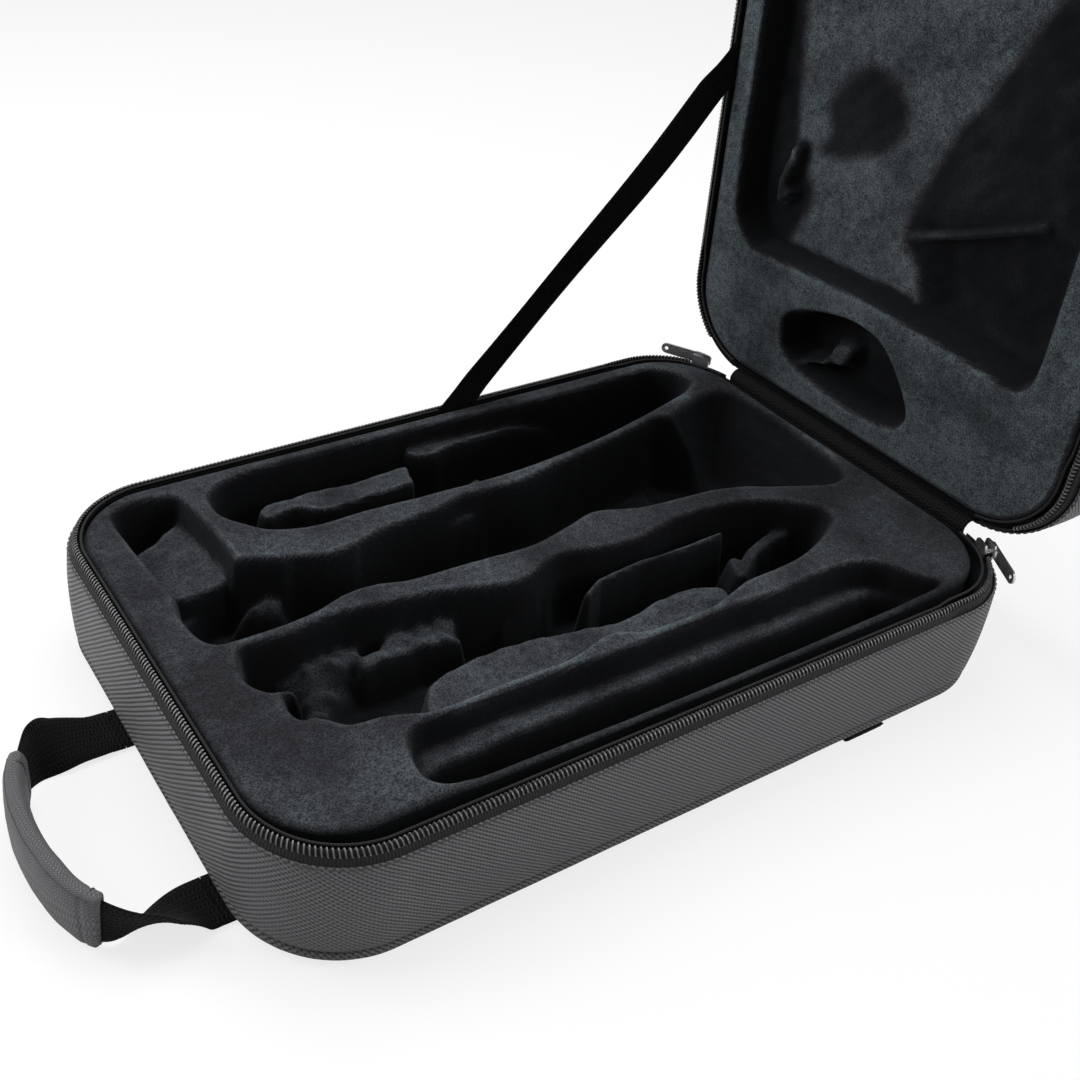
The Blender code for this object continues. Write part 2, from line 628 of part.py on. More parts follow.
def build_lid_insert(shop, kit):
    """The plush lining of the lid with its large pocket and the nest for a bell."""
    near = INSERT_TOP_DROP
    far = LID_DEPTH - COVER_THICKNESS - BOARD_THICKNESS - CLEARANCE * 2
    outline = rounded_rectangle(BASE_INSERT_HALF_LENGTH, LID_INSERT_HALF_WIDTH,
                                INSERT_CORNER_RADIUS, LID_INSERT_CENTRE_Y)
    outline = outline - np.array([HINGE_X, 0.0])
    lining = moulded_block(shop, "lid_insert", outline, near, far, kit["plush"])
    hollows = (
        ("lid_pocket", LID_POCKET_SHARES, LID_POCKET_FLOOR),
        ("lid_well", LID_WELL_SHARES, LID_WELL_FLOOR),
        ("lid_bell_nest", LID_BELL_SHARES, LID_BELL_FLOOR),
    )
    cutters = []
    for name, shares, depth in hollows:
        outline = lid_outline(shares) - np.array([HINGE_X, 0.0])
        cutter = cavity_cutter(shop, name, outline, near, depth)
        cut(lining, cutter)
        cutters.append(cutter)
    return lining, cutters


def build_hinge_strips(shop, kit):
    """The fabric hinge, one strip in the real case, as two leaves that meet at the fold."""
    half_length = RIM_WIDTH / 2 - RIM_CORNER_RADIUS + STRIP_OVERHANG
    leaves = []
    for half, sign in (("base", -1.0), ("lid", 1.0)):
        low_x = RIM_LENGTH / 2 + TAPE_SEAM_STANDOFF - HINGE_X
        far = sign * (WALL_EDGE_DROP - CLEARANCE)
        near = sign * STRIP_FOLD_GAP
        sections = []
        for x, z in ((low_x, far), (-STRIP_THICKNESS / 2, near)):
            sections.append(np.array([(x, -half_length, z), (x, half_length, z)]))
        verts, faces = loft(sections, False, False)
        mesh = bpy.data.meshes.new(half + "_hinge_strip")
        mesh.from_pydata([tuple(v) for v in verts], [], faces)
        leaf = shop.part(half + "_hinge_strip", mesh, kit["webbing"])
        body = leaf.modifiers.new("thickness", "SOLIDIFY")
        body.thickness = STRIP_THICKNESS
        body.offset = 0.0
        leaves.append(leaf)
    leaves[0].location = (HINGE_X, 0.0, BASE_DEPTH)
    return leaves


def box_mesh(name, size):
    """A box about the origin."""
    shape = bmesh.new()
    bmesh.ops.create_cube(shape, size=1.0, matrix=Matrix.Diagonal((*size, 1.0)))
    mesh = bpy.data.meshes.new(name)
    shape.to_mesh(mesh)
    shape.free()
    return mesh


def build_stay(shop, kit, lid_axis):
    """The webbing that holds the lid open, and the sewn patches at its two ends."""
    open_angle = math.radians(LID_OPEN_DEGREES)
    start = Vector((HINGE_X - STAY_REACH, 0.0, BASE_DEPTH))
    end = Vector((HINGE_X - STAY_REACH * math.cos(open_angle), 0.0,
                  BASE_DEPTH + STAY_REACH * math.sin(open_angle)))
    span = end - start
    slope = -math.atan2(span.z, span.x)
    tilt = Matrix.Rotation(slope, 4, "Y")
    strap_y = RIM_WIDTH / 2 - STAY_INSET
    patch_y = strap_y + (STAY_THICKNESS + STAY_PATCH_THICKNESS) / 2 + CLEARANCE
    strap = shop.part("stay_strap", box_mesh("stay_strap", (span.length + 2 * STAY_TAIL, STAY_THICKNESS,
                                                            STAY_WIDTH)), kit["webbing"])
    strap.data.transform(tilt)
    strap.location = (start + end) / 2
    strap.location.y = strap_y
    size = (STAY_PATCH_LENGTH, STAY_PATCH_THICKNESS, STAY_WIDTH)
    way = span.normalized()
    reach = STAY_TAIL - STAY_PATCH_LENGTH / 2
    low = shop.part("stay_strap_base_patch", box_mesh("stay_strap_base_patch", size), kit["webbing"])
    low.data.transform(tilt)
    low.location = start - way * reach
    low.location.y = patch_y
    high = shop.part("stay_strap_lid_patch", box_mesh("stay_strap_lid_patch", size), kit["webbing"])
    place = end + way * reach
    place.y = patch_y
    high.data.transform(lid_axis.matrix_world.inverted() @ Matrix.Translation(place) @ tilt)
    high.parent = lid_axis
    return strap, low, high


def handle_stations(count, first_share=0.0, last_share=1.0):
    """Centres, width directions and thickness directions along the handle's webbing.

    The chain of hand-placed shares is joined by a smooth curve, about the handle's own axis.
    """
    rows = np.array(HANDLE_PATH_SHARES)
    slopes = np.gradient(rows, axis=0)
    spans = len(rows) - 1
    places = np.linspace(first_share, last_share, count) * spans
    samples = []
    for place in places:
        index = min(int(place), spans - 1)
        samples.append(bridged(rows[index], rows[index + 1], slopes[index], slopes[index + 1],
                               place - index))
    samples = np.array(samples)
    centres = np.column_stack([-samples[:, 0] * HANDLE_REACH, samples[:, 1] * HANDLE_SPAN,
                               samples[:, 2] * HANDLE_RISE - WEBBING_THICKNESS / 2])
    tangents = np.gradient(centres, axis=0)
    if first_share == 0.0:
        tangents[0] = (-1.0, 0.0, 0.0)
        tangents[-1] = (1.0, 0.0, 0.0)
    tangents /= np.linalg.norm(tangents, axis=1)[:, None]
    level = np.column_stack([tangents[:, 1], -tangents[:, 0], np.zeros(count)])
    level /= np.linalg.norm(level, axis=1)[:, None]
    twist = np.clip(samples[:, 3], 0.0, 1.0) * math.pi / 2
    up = np.cross(level, tangents)
    up *= np.sign(up[:, 2])[:, None]
    widths = level * np.cos(twist)[:, None] + up * np.sin(twist)[:, None]
    normals = np.cross(tangents, widths)
    return centres, widths, normals


def webbing_mesh(name, spare):
    """The handle's webbing as a flat twisting ribbon; spare widens it into the grip's slot cutter."""
    centres, widths, normals = handle_stations(HANDLE_STATIONS)
    half_width = WEBBING_WIDTH / 2 + spare
    half_thick = WEBBING_THICKNESS / 2 + spare
    corner = WEBBING_EDGE_ROUND
    profile = ((half_width - corner, half_thick), (-half_width + corner, half_thick),
               (-half_width, half_thick - corner), (-half_width, -half_thick + corner),
               (-half_width + corner, -half_thick), (half_width - corner, -half_thick),
               (half_width, -half_thick + corner), (half_width, half_thick - corner))
    sections = [np.array([c + w * across + n * through for across, through in profile])
                for c, w, n in zip(centres, widths, normals)]
    verts, faces = loft(sections, True, True)
    return mesh_from(name, verts, faces)


def grip_mesh():
    """The padded sleeve: a soft oblong section along the outer part of the handle, fuller in the middle."""
    centres, widths, normals = handle_stations(GRIP_STATIONS, GRIP_START_SHARE, GRIP_END_SHARE)
    angles = np.linspace(0.0, 2 * math.pi, GRIP_SECTION_POINTS, endpoint=False)
    power = 2 / GRIP_SECTION_POWER
    across = np.sign(np.cos(angles)) * np.abs(np.cos(angles)) ** power
    through = np.sign(np.sin(angles)) * np.abs(np.sin(angles)) ** power
    sections = []
    for index, (c, w, n) in enumerate(zip(centres, widths, normals)):
        share = index / (GRIP_STATIONS - 1)
        fullness = 1.0 - GRIP_END_TAPER_SHARE * (2 * share - 1) ** 4
        sections.append(np.array([c + w * a * GRIP_HEIGHT / 2 + n * t * fullness * GRIP_THICKNESS / 2
                                  for a, t in zip(across, through)]))
    verts, faces = loft(sections, True, True)
    return mesh_from("handle_grip", verts, faces)


def build_handle(shop, kit):
    """The carry handle, lying out on the table, and the tabs that sew it to the base.

    It turns about the upper edge of its sewn ends, so the seam's gap stays the same.
    """
    axis_x = -RIM_LENGTH / 2 - WALL_STANDOFF - TAB_SEAM_DEPTH / 2 + CLEARANCE
    webbing_z = WEBBING_THICKNESS / 2 + CLEARANCE
    axis = shop.axis("handle_axis", (axis_x, HANDLE_CENTRE_Y, WEBBING_THICKNESS + CLEARANCE))
    webbing = shop.part("handle_webbing", webbing_mesh("handle_webbing", 0.0), kit["webbing"])
    webbing.parent = axis
    grip = shop.part("handle_grip", grip_mesh(), kit["nylon"])
    grip.parent = axis
    slot = shop.tool("grip_slot", webbing_mesh("grip_slot", CLEARANCE))
    slot.parent = axis
    cut(grip, slot)
    panel_edge = -RIM_LENGTH / 2 - WALL_STANDOFF + PIPING_DIAMETER + CLEARANCE
    inner = panel_edge - CLEARANCE
    outer = axis_x + CLEARANCE
    for name, side in (("handle_tab_back", 0.5), ("handle_tab_front", -0.5)):
        size = (inner - outer, WEBBING_WIDTH, WEBBING_THICKNESS)
        tab = shop.part(name, box_mesh(name, size), kit["webbing"])
        tab.location = ((inner + outer) / 2, HANDLE_CENTRE_Y + side * HANDLE_SPAN, webbing_z)
    stub_inner = -RIM_WIDTH / 2 - WALL_STANDOFF + PIPING_DIAMETER
    stub_outer = -RIM_WIDTH / 2 - WALL_STANDOFF - STUB_PROJECTION
    size = (WEBBING_WIDTH, stub_inner - stub_outer, WEBBING_THICKNESS)
    stub = shop.part("bottom_strap_stub", box_mesh("bottom_strap_stub", size), kit["webbing"])
    stub.location = (STUB_X, (stub_inner + stub_outer) / 2, webbing_z)


def upright_sheet(shop, name, points, thickness, tool, material=None):
    """A flat shape standing on edge: points are (along the zip, up), the thickness lies across it."""
    curve = bpy.data.curves.new(name, "CURVE")
    curve.dimensions = "2D"
    curve.fill_mode = "BOTH"
    curve.extrude = thickness / 2
    for loop in points:
        spline = curve.splines.new("POLY")
        spline.points.add(len(loop) - 1)
        for point, (along, up) in zip(spline.points, loop):
            point.co = (along, up, 0.0, 1.0)
        spline.use_cyclic_u = True
    stand = Matrix(((0, 0, 1, 0), (1, 0, 0, 0), (0, 1, 0, 0), (0, 0, 0, 1)))
    return settled(shop, name, curve, material, stand, tool)


def slider_outline(side):
    """Half of the plate's outline mirrored: broad shoulders at the leading end, a narrow heel."""
    upper = []
    for along, share in SLIDER_PLATE_SHARES:
        blend = along + 0.5
        height = SLIDER_HEEL_HEIGHT + (SLIDER_SHOULDER_HEIGHT - SLIDER_HEEL_HEIGHT) * blend
        upper.append((side * along * SLIDER_LENGTH, share * height / 2))
    return upper + [(x, -z) for x, z in reversed(upper)]


def bridge_outline():
    """The loop on the slider's front that carries the pull, seen from its end along the zip."""
    half = BRIDGE_LENGTH / 2
    rise = BRIDGE_HEIGHT
    bar = BRIDGE_BAR
    cant = BRIDGE_CHAMFER
    outer = [(-half, 0.0), (-half, rise - cant), (-half + cant, rise), (half - cant, rise),
             (half, rise - cant), (half, 0.0)]
    inner = [(half - bar, 0.0), (half - bar, rise - bar), (-half + bar, rise - bar), (-half + bar, 0.0)]
    return outer + inner


def build_slider(shop, kit, name, side):
    """One zip slider, and its pull, at a hinge corner; side is -1 for the front and +1 for the back."""
    corner = (RIM_LENGTH / 2 - RIM_CORNER_RADIUS, side * (RIM_WIDTH / 2 - RIM_CORNER_RADIUS), BASE_DEPTH)
    axis = shop.axis(name + "_zip_corner_axis", corner)
    axis.rotation_euler = (0.0, 0.0, side * math.radians(SLIDER_PARK_DEGREES))
    plate_middle = SLIDER_PLATE_STANDOFF + SLIDER_PLATE_THICKNESS / 2
    plates = []
    for label, place, tool in (("outer", plate_middle, False), ("inner", -plate_middle, True)):
        title = "zip_slider_" + name if not tool else "zip_slider_" + name + "_" + label
        plate = upright_sheet(shop, title, [slider_outline(side)], SLIDER_PLATE_THICKNESS, tool,
                              None if tool else kit["metal"])
        plate.data.transform(Matrix.Translation((RIM_CORNER_RADIUS + place, 0.0, 0.0)))
        plates.append(plate)
    post_size = (2 * plate_middle, SLIDER_POST_LENGTH, SLIDER_POST_THICKNESS)
    post = shop.tool("zip_slider_" + name + "_post", box_mesh("post", post_size))
    lead = side * (SLIDER_LENGTH / 2 - SLIDER_POST_LENGTH)
    post.data.transform(Matrix.Translation((RIM_CORNER_RADIUS, lead, 0.0)))
    outer_face = RIM_CORNER_RADIUS + SLIDER_PLATE_STANDOFF + SLIDER_PLATE_THICKNESS
    bridge = bridge_solid(shop, "zip_slider_" + name + "_bridge")
    bridge.data.transform(Matrix.Translation((outer_face - BRIDGE_SINK, 0.0, 0.0)))
    slider = plates[0]
    slider.parent = axis
    for piece in (plates[1], post, bridge):
        piece.parent = axis
        cut(slider, piece, "UNION")
    pin_x = outer_face + (BRIDGE_HEIGHT - BRIDGE_SINK - BRIDGE_BAR) / 2
    pull_axis = shop.axis(name + "_pull_axis", (pin_x, 0.0, 0.0), parent=axis)
    pull = build_pull(shop, kit, "zip_pull_" + name, side)
    pull.parent = pull_axis
    return slider, pull


def bridge_solid(shop, name):
    """The bridge as a flat outline across the plate, as wide as the bridge."""
    curve = bpy.data.curves.new(name, "CURVE")
    curve.dimensions = "2D"
    curve.fill_mode = "BOTH"
    curve.extrude = BRIDGE_WIDTH / 2
    spline = curve.splines.new("POLY")
    outline = bridge_outline()
    spline.points.add(len(outline) - 1)
    for point, (along, out) in zip(spline.points, outline):
        point.co = (out, along, 0.0, 1.0)
    spline.use_cyclic_u = True
    return settled(shop, name, curve, None, Matrix.Identity(4), True)


def build_pull(shop, kit, name, side):
    """The pull: a flat tab whose end bar passes through the slider's bridge, with a hole at its tip."""
    back = -PULL_PIN / 2
    front = back + PULL_LENGTH
    half = PULL_WIDTH / 2
    turns = np.linspace(-math.pi / 2, math.pi / 2, PULL_SIDES // 2 + 1)
    tip = [(front - half + half * math.cos(a), half * math.sin(a)) for a in turns]
    body = [(back, half), (back, -half)] + tip
    window_half = PULL_WINDOW_WIDTH / 2
    window_end = back + PULL_PIN + PULL_WINDOW_LENGTH
    window = [(back + PULL_PIN, -window_half), (window_end, -window_half), (window_end, window_half),
              (back + PULL_PIN, window_half)]
    spins = np.linspace(0.0, 2 * math.pi, PULL_SIDES, endpoint=False)
    hole_middle = front - half
    hole_radius = PULL_HOLE_DIAMETER / 2
    hole = [(hole_middle + hole_radius * math.cos(a), hole_radius * math.sin(a)) for a in spins]
    loops = [[(side * along, up) for along, up in loop] for loop in (body, window, hole)]
    return upright_sheet(shop, name, loops, PULL_THICKNESS, False, kit["metal"])


def build_lid(shop, kit):
    """Everything that turns with the lid, made closed and turned open on the hinge axis."""
    axis = shop.axis("lid_hinge_axis", (HINGE_X, 0.0, BASE_DEPTH), math.radians(LID_OPEN_DEGREES))
    bpy.context.view_layer.update()
    for item in build_half(shop, "lid", kit, 1.0, 0.0, LID_DEPTH, HINGE_X):
        item.parent = axis
    lining, cutters = build_lid_insert(shop, kit)
    for item in [lining] + cutters:
        item.parent = axis
    return axis


def main():
    clear_scene()
    shop = Workshop()
    kit = {
        "nylon": make_material("nylon", NYLON_GREY, FABRIC_ROUGHNESS),
        "plush": make_material("plush", PLUSH_BLUE_GREY, PLUSH_ROUGHNESS),
        "webbing": make_material("webbing", WEBBING_BLACK, FABRIC_ROUGHNESS),
        "tape": make_material("tape", TAPE_BLACK, FABRIC_ROUGHNESS),
        "coil": make_material("coil", COIL_BLACK, COIL_ROUGHNESS),
        "foam": make_material("foam", FOAM_DARK, PLUSH_ROUGHNESS),
        "board": make_material("board", BOARD_BROWN, FABRIC_ROUGHNESS),
        "metal": make_material("metal", SLIDER_METAL, METAL_ROUGHNESS, 1.0),
    }
    build_half(shop, "base", kit, -1.0, BASE_DEPTH, BASE_DEPTH, 0.0)
    build_base_insert(shop, kit)
    lid_axis = build_lid(shop, kit)
    leaves = build_hinge_strips(shop, kit)
    leaves[1].parent = lid_axis
    build_stay(shop, kit, lid_axis)
    build_handle(shop, kit)
    build_slider(shop, kit, "front", -1.0)
    build_slider(shop, kit, "back", 1.0)


main()
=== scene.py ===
"""The visible pieces of a soft zip case for two clarinets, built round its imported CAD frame.

All lengths are in metres. The base lies on the floor with its hinge towards +X. The lid stands
open on the hinge. Depths are measured from the plane where the two halves meet, into each half.
"""

import math
from functools import partial

import bpy
import numpy as np
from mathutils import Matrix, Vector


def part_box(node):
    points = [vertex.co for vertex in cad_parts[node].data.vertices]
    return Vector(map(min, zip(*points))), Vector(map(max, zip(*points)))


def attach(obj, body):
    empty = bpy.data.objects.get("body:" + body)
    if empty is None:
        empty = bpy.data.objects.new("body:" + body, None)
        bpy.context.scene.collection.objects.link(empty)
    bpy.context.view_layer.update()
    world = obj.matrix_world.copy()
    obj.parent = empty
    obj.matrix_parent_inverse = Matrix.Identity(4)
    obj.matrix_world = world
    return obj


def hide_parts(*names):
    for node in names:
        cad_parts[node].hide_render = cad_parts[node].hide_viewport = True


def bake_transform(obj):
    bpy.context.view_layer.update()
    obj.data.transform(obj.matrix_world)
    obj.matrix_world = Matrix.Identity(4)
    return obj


bl_info = {
    "name": "Soft Zip Case",
    "version": (1, 0, 0),
    "blender": (4, 5, 0),
    "location": "View3D > Sidebar > Case",
    "description": "Builds the plush, nylon, webbing and zip of a soft case for two clarinets",
    "category": "Add Mesh",
}

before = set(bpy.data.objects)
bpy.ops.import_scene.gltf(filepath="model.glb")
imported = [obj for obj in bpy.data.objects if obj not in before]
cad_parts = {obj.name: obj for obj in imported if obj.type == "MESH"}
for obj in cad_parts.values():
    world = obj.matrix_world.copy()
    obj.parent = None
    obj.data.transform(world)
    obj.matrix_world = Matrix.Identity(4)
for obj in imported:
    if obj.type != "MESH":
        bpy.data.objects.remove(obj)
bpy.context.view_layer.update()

HALVES = ("base", "lid")
TAU = 2 * math.pi

# Nest outlines in the base: thousandths of the liner's half length and half width
ACCESSORY = (
    (-900, 850), (-860, 910), (-780, 920), (-720, 870), (-700, 500), (-720, 270), (-800, 200),
    (-870, 250), (-890, 500),
)
ACCESSORY_WELL = (
    (-890, 840), (-860, 880), (-790, 890), (-750, 840), (-750, 700), (-780, 620), (-850, 600),
    (-885, 660),
)
UPPER_JOINT = (
    (-885, 250), (-890, 80), (-860, -15), (-750, -25), (-630, -10), (-530, 35), (-450, 35),
    (-370, 0), (-200, -10), (-30, -25), (100, 20), (200, 55), (330, -10), (540, -40), (710, -100),
    (750, 60), (750, 410), (670, 530), (560, 500), (400, 450), (240, 410), (100, 370), (-50, 385),
    (-160, 350), (-300, 330), (-470, 270), (-590, 330), (-690, 390), (-800, 375),
)
BELL = (
    (600, 450), (780, 580), (900, 620), (965, 550), (980, 320), (975, -20), (940, -220),
    (860, -240), (750, -170), (630, -60), (580, 150), (570, 330),
)
LOWER_JOINT = (
    (-650, 830), (-590, 905), (-490, 935), (-270, 940), (110, 925), (430, 905), (640, 910),
    (810, 920), (880, 840), (880, 730), (800, 660), (590, 570), (400, 505), (130, 455), (-110, 460),
    (-320, 475), (-470, 475), (-570, 525), (-620, 610), (-655, 705),
)
SECOND_JOINT = (
    (-815, -75), (-842, -140), (-853, -240), (-826, -320), (-777, -350), (-783, -470), (-752, -530),
    (-720, -580), (-660, -590), (-610, -615), (-560, -645), (-490, -652), (-360, -646),
    (-240, -650), (-170, -640), (-100, -610), (-45, -605), (5, -645), (100, -657), (210, -652),
    (290, -620), (360, -590), (460, -585), (560, -565), (660, -510), (740, -440), (750, -355),
    (665, -235), (540, -165), (386, -145), (236, -190), (130, -175), (10, -130), (-134, -200),
    (-257, -150), (-354, -105), (-472, -86), (-580, -55), (-700, -80),
)
SIDE_HOLE = (
    (-803, -355), (-784, -357), (-774, -385), (-764, -426), (-778, -490), (-803, -490),
    (-812, -430),
)
LONG_TRAY = (
    (-660, -890), (-650, -780), (-625, -710), (-580, -684), (-490, -690), (-380, -684),
    (-280, -684), (-190, -695), (-100, -705), (-20, -700), (60, -696), (170, -696), (280, -698),
    (400, -710), (540, -695), (620, -700), (685, -730), (722, -785), (740, -850), (770, -920),
    (790, -955), (740, -968), (320, -972), (-160, -972), (-560, -968), (-630, -950),
)
LONG_CHANNEL = (
    (-635, -900), (-625, -830), (-580, -800), (-320, -790), (0, -790), (320, -795), (580, -795),
    (660, -800), (705, -840), (725, -900), (700, -945), (640, -957), (0, -960), (-320, -958),
    (-560, -957), (-610, -945),
)

# Forms that stand up inside the base's nests: shelves and lumps with closed outlines
ACCESSORY_SHELF = (
    (-722, 870), (-715, 694), (-704, 516), (-721, 416), (-780, 400), (-860, 400), (-900, 520),
    (-900, 700), (-822, 788), (-785, 834),
)
CRADLE_SHELF = (
    (-538, 779), (-502, 824), (-441, 826), (-344, 826), (-266, 816), (-182, 820), (-118, 824),
    (-71, 814), (-82, 742), (-94, 682), (-136, 671), (-210, 670), (-285, 662), (-349, 655),
    (-398, 677), (-435, 723), (-482, 719), (-525, 706),
)
CRADLE_BANK = (
    (-54, 899), (-15, 934), (39, 921), (110, 915), (200, 903), (306, 891), (450, 864), (321, 866),
    (233, 858), (148, 857), (68, 842), (16, 826), (-37, 849),
)
CRADLE_LUMP = ((85, 740), (135, 774), (158, 738), (134, 665), (88, 647), (58, 671))
UPPER_LUMP = ((-720, 313), (-659, 361), (-585, 378), (-595, 309), (-622, 247), (-657, 262))
SECOND_LUMPS = (
    (-772, -94), (-739, -74), (-674, -66), (-623, -65), (-608, -33), (-567, -22), (-529, -34),
    (-530, -98), (-546, -160), (-583, -178), (-639, -156), (-695, -134),
)
SECOND_FLOOR = (
    (-772, -94), (-674, -66), (-567, -22), (-546, -160), (-645, -259), (-724, -342), (-716, -200),
)
SECOND_PLATEAU = (
    (-571, -232), (-558, -163), (-500, -129), (-434, -93), (-352, -87), (-273, -98), (-302, -201),
    (-311, -272), (-356, -248), (-408, -230), (-467, -231), (-521, -236),
)
SECOND_SHELF = (
    (-520, -530), (-478, -419), (-434, -384), (-374, -367), (-310, -355), (-248, -352),
    (-143, -374), (-19, -410), (60, -430), (120, -425), (200, -395), (290, -400), (360, -440),
    (380, -500), (340, -620), (200, -700), (0, -700), (-100, -670), (-250, -700), (-500, -700),
    (-540, -620),
)
SECOND_KEYS = ((-222, -136), (-183, -113), (-151, -125), (-172, -177), (-221, -178))
SECOND_KEYS_MIDDLE = (
    (-191, -229), (-105, -149), (-20, -147), (-41, -201), (-109, -228), (-191, -249),
)
SHELF_LUMPS = (
    (102, -471), (180, -439), (273, -443), (340, -498), (321, -567), (233, -600), (138, -600),
    (71, -560),
)

# The same as lines along which thin banks stand
UPPER_BANK = ((-368, 366), (-266, 345), (-147, 345), (-49, 363), (-10, 381))
UPPER_BANK_BACK = ((-266, 385), (-152, 412), (-40, 447), (-14, 451))
UPPER_PARTS = (
    ((-586, 322), (-599, 194), (-608, 107)),
    ((-408, 308), (-415, 227), (-422, 161)),
    ((1, 331), (-13, 222), (-29, 95)),
    ((164, 302), (135, 185), (114, 81)),
    ((327, 418), (289, 298), (254, 173)),
)
SECOND_BANK = ((-104, -103), (-48, -112), (13, -118))
SECOND_LONG_BANK = ((14, -317), (75, -266), (213, -244), (340, -250), (480, -240))
SECOND_END_BANK = ((478, -351), (459, -427), (543, -341), (625, -296), (707, -280))

# Places where the nap stands up: painted light on a nest's floor, in a corner and on a ledge
BELL_NAP_LIGHT = ((944, 472), (939, 304), (976, 100), (966, -107), (846, -50), (809, 15), (861, 236))
TRAY_LEDGE = (
    (-590, -715), (-300, -716), (0, -728), (300, -730), (600, -735), (680, -760), (660, -800),
    (580, -790), (0, -785), (-580, -790), (-610, -800),
)
CORNER_NAP_LIGHT = ((749, 634), (798, 670), (824, 630), (807, 570))

# Outlines in the lid: thousandths of the liner's length from the hinge side and of its half width
LID_POCKET = (
    (185, 720), (195, 0), (185, -700), (200, -760), (240, -775), (600, -775), (900, -775),
    (935, -740), (940, 0), (935, 840), (900, 880), (600, 880), (320, 880), (230, 860), (200, 800),
)
LID_WELL = (
    (200, -160), (190, -420), (200, -680), (280, -740), (370, -700), (350, -400), (310, -60),
    (250, -100),
)
LID_BELL = (
    (112, 460), (68, 450), (50, 380), (36, 150), (36, -90), (47, -230), (70, -270), (102, -220),
    (134, -130), (153, -30), (156, 130), (137, 350),
)
LID_LUMPS = (
    (249, 714), (274, 733), (298, 719), (338, 676), (336, 632), (314, 639), (281, 675), (270, 636),
)
LID_BELL_LUMP = ((89, 249), (103, 177), (97, 136), (71, 156), (60, 207), (68, 257))
# Patches of the lid's pocket: one painted lighter, three painted darker
LID_LIGHT = (
    (147, -128), (153, 734), (203, 655), (266, 568), (312, 677), (388, 737), (900, 750),
    (900, -600), (473, -156), (432, -81), (346, 8), (279, 50), (237, -59),
)
LID_DARK_SIDE = (
    (140, 950), (149, 744), (221, 637), (248, 786), (252, 630), (280, 578), (325, 688), (385, 765),
    (390, 880), (250, 930),
)
LID_DARK_TOP = ((403, 573), (369, 533), (337, 577), (342, 407), (392, 181), (439, 198), (470, 400))
LID_DARK_RIGHT = (
    (398, -114), (427, -271), (427, -491), (404, -601), (367, -599), (310, -202), (324, -89),
)
LID_FOLD = ((277, 47), (310, -202), (362, -540))
LID_CREASE = ((243, -53), (193, -106), (147, -144))
LID_RIDGE = ((39, 481), (52, 368), (66, 241))

# Nests: outline, floor's depth, radius of the edge, slope of the wall, blend into the floor
BASE_NESTS = (
    (ACCESSORY, 0.026, 0.0016, 7.0, 0.006), (ACCESSORY_WELL, 0.045, 0.0018, 7.0, 0.005),
    (UPPER_JOINT, 0.042, 0.0015, 7.0, 0.009), (BELL, 0.047, 0.0022, 1.7, 0.012),
    (LOWER_JOINT, 0.042, 0.0015, 7.0, 0.009), (SECOND_JOINT, 0.040, 0.0014, 7.0, 0.009),
    (SIDE_HOLE, 0.030, 0.0010, 7.0, 0.004), (LONG_TRAY, 0.0155, 0.0013, 7.0, 0.003),
    (LONG_CHANNEL, 0.034, 0.0026, 6.0, 0.006),
)
LID_NESTS = (
    (LID_POCKET, 0.020, 0.0011, 7.0, 0.003), (LID_WELL, 0.026, 0.0060, 0.9, 0.005),
    (LID_BELL, 0.024, 0.0018, 6.0, 0.008),
)

# Shelves: outline, depth of the top, width of the edge, height of its lumps, nap, which paints the
# shelf lighter as painted light
BASE_SHELVES = (
    (ACCESSORY_SHELF, 0.0155, 0.0025, 0.0004, 0.62),
    (CRADLE_SHELF, 0.014, 0.003, 0.0005, 0.58), (CRADLE_BANK, 0.013, 0.003, 0.0003, 0.62),
    (CRADLE_LUMP, 0.028, 0.012, 0.0010, 0.40), (UPPER_LUMP, 0.023, 0.013, 0.0015, 0.70),
    (SECOND_FLOOR, 0.028, 0.010, 0.0040, 0.40), (SECOND_LUMPS, 0.020, 0.008, 0.0035, 0.55),
    (SECOND_PLATEAU, 0.019, 0.007, 0.0022, 0.60), (SECOND_SHELF, 0.018, 0.004, 0.0008, 0.70),
    (SECOND_KEYS, 0.020, 0.008, 0.0020, 0.50), (SECOND_KEYS_MIDDLE, 0.021, 0.008, 0.0025, 0.50),
    (SHELF_LUMPS, 0.0155, 0.007, 0.0020, 0.66),
)
LID_SHELVES = (
    (LID_LUMPS, 0.012, 0.005, 0.0012, 0.70), (LID_BELL_LUMP, 0.014, 0.006, 0.0008, 0.55),
)

# Banks: line, depth of the top, half width, width of the foot on each side, nap, which paints the
# bank lighter as painted light
BASE_BANKS = (
    (UPPER_BANK, 0.014, 0.0010, 0.0030, 0.50), (UPPER_BANK_BACK, 0.014, 0.0010, 0.0030, 0.45),
    (SECOND_BANK, 0.014, 0.0010, 0.0030, 0.50), (SECOND_LONG_BANK, 0.0105, 0.0010, 0.0035, 0.60),
    (SECOND_END_BANK, 0.018, 0.0022, 0.0045, 0.40),
)
LID_BANKS = (
    (LID_RIDGE, 0.008, 0.0006, 0.0024, 0.14), (LID_FOLD, 0.0183, 0.0004, 0.0030, 0.40),
    (LID_CREASE, 0.0185, 0.0004, 0.0030, 0.30),
)

# Streaks of standing nap on walls and floors, which are painted highlights: line, half width, nap
BASE_LIGHT_STREAKS = tuple((line, 0.0016, 0.34) for line in UPPER_PARTS)

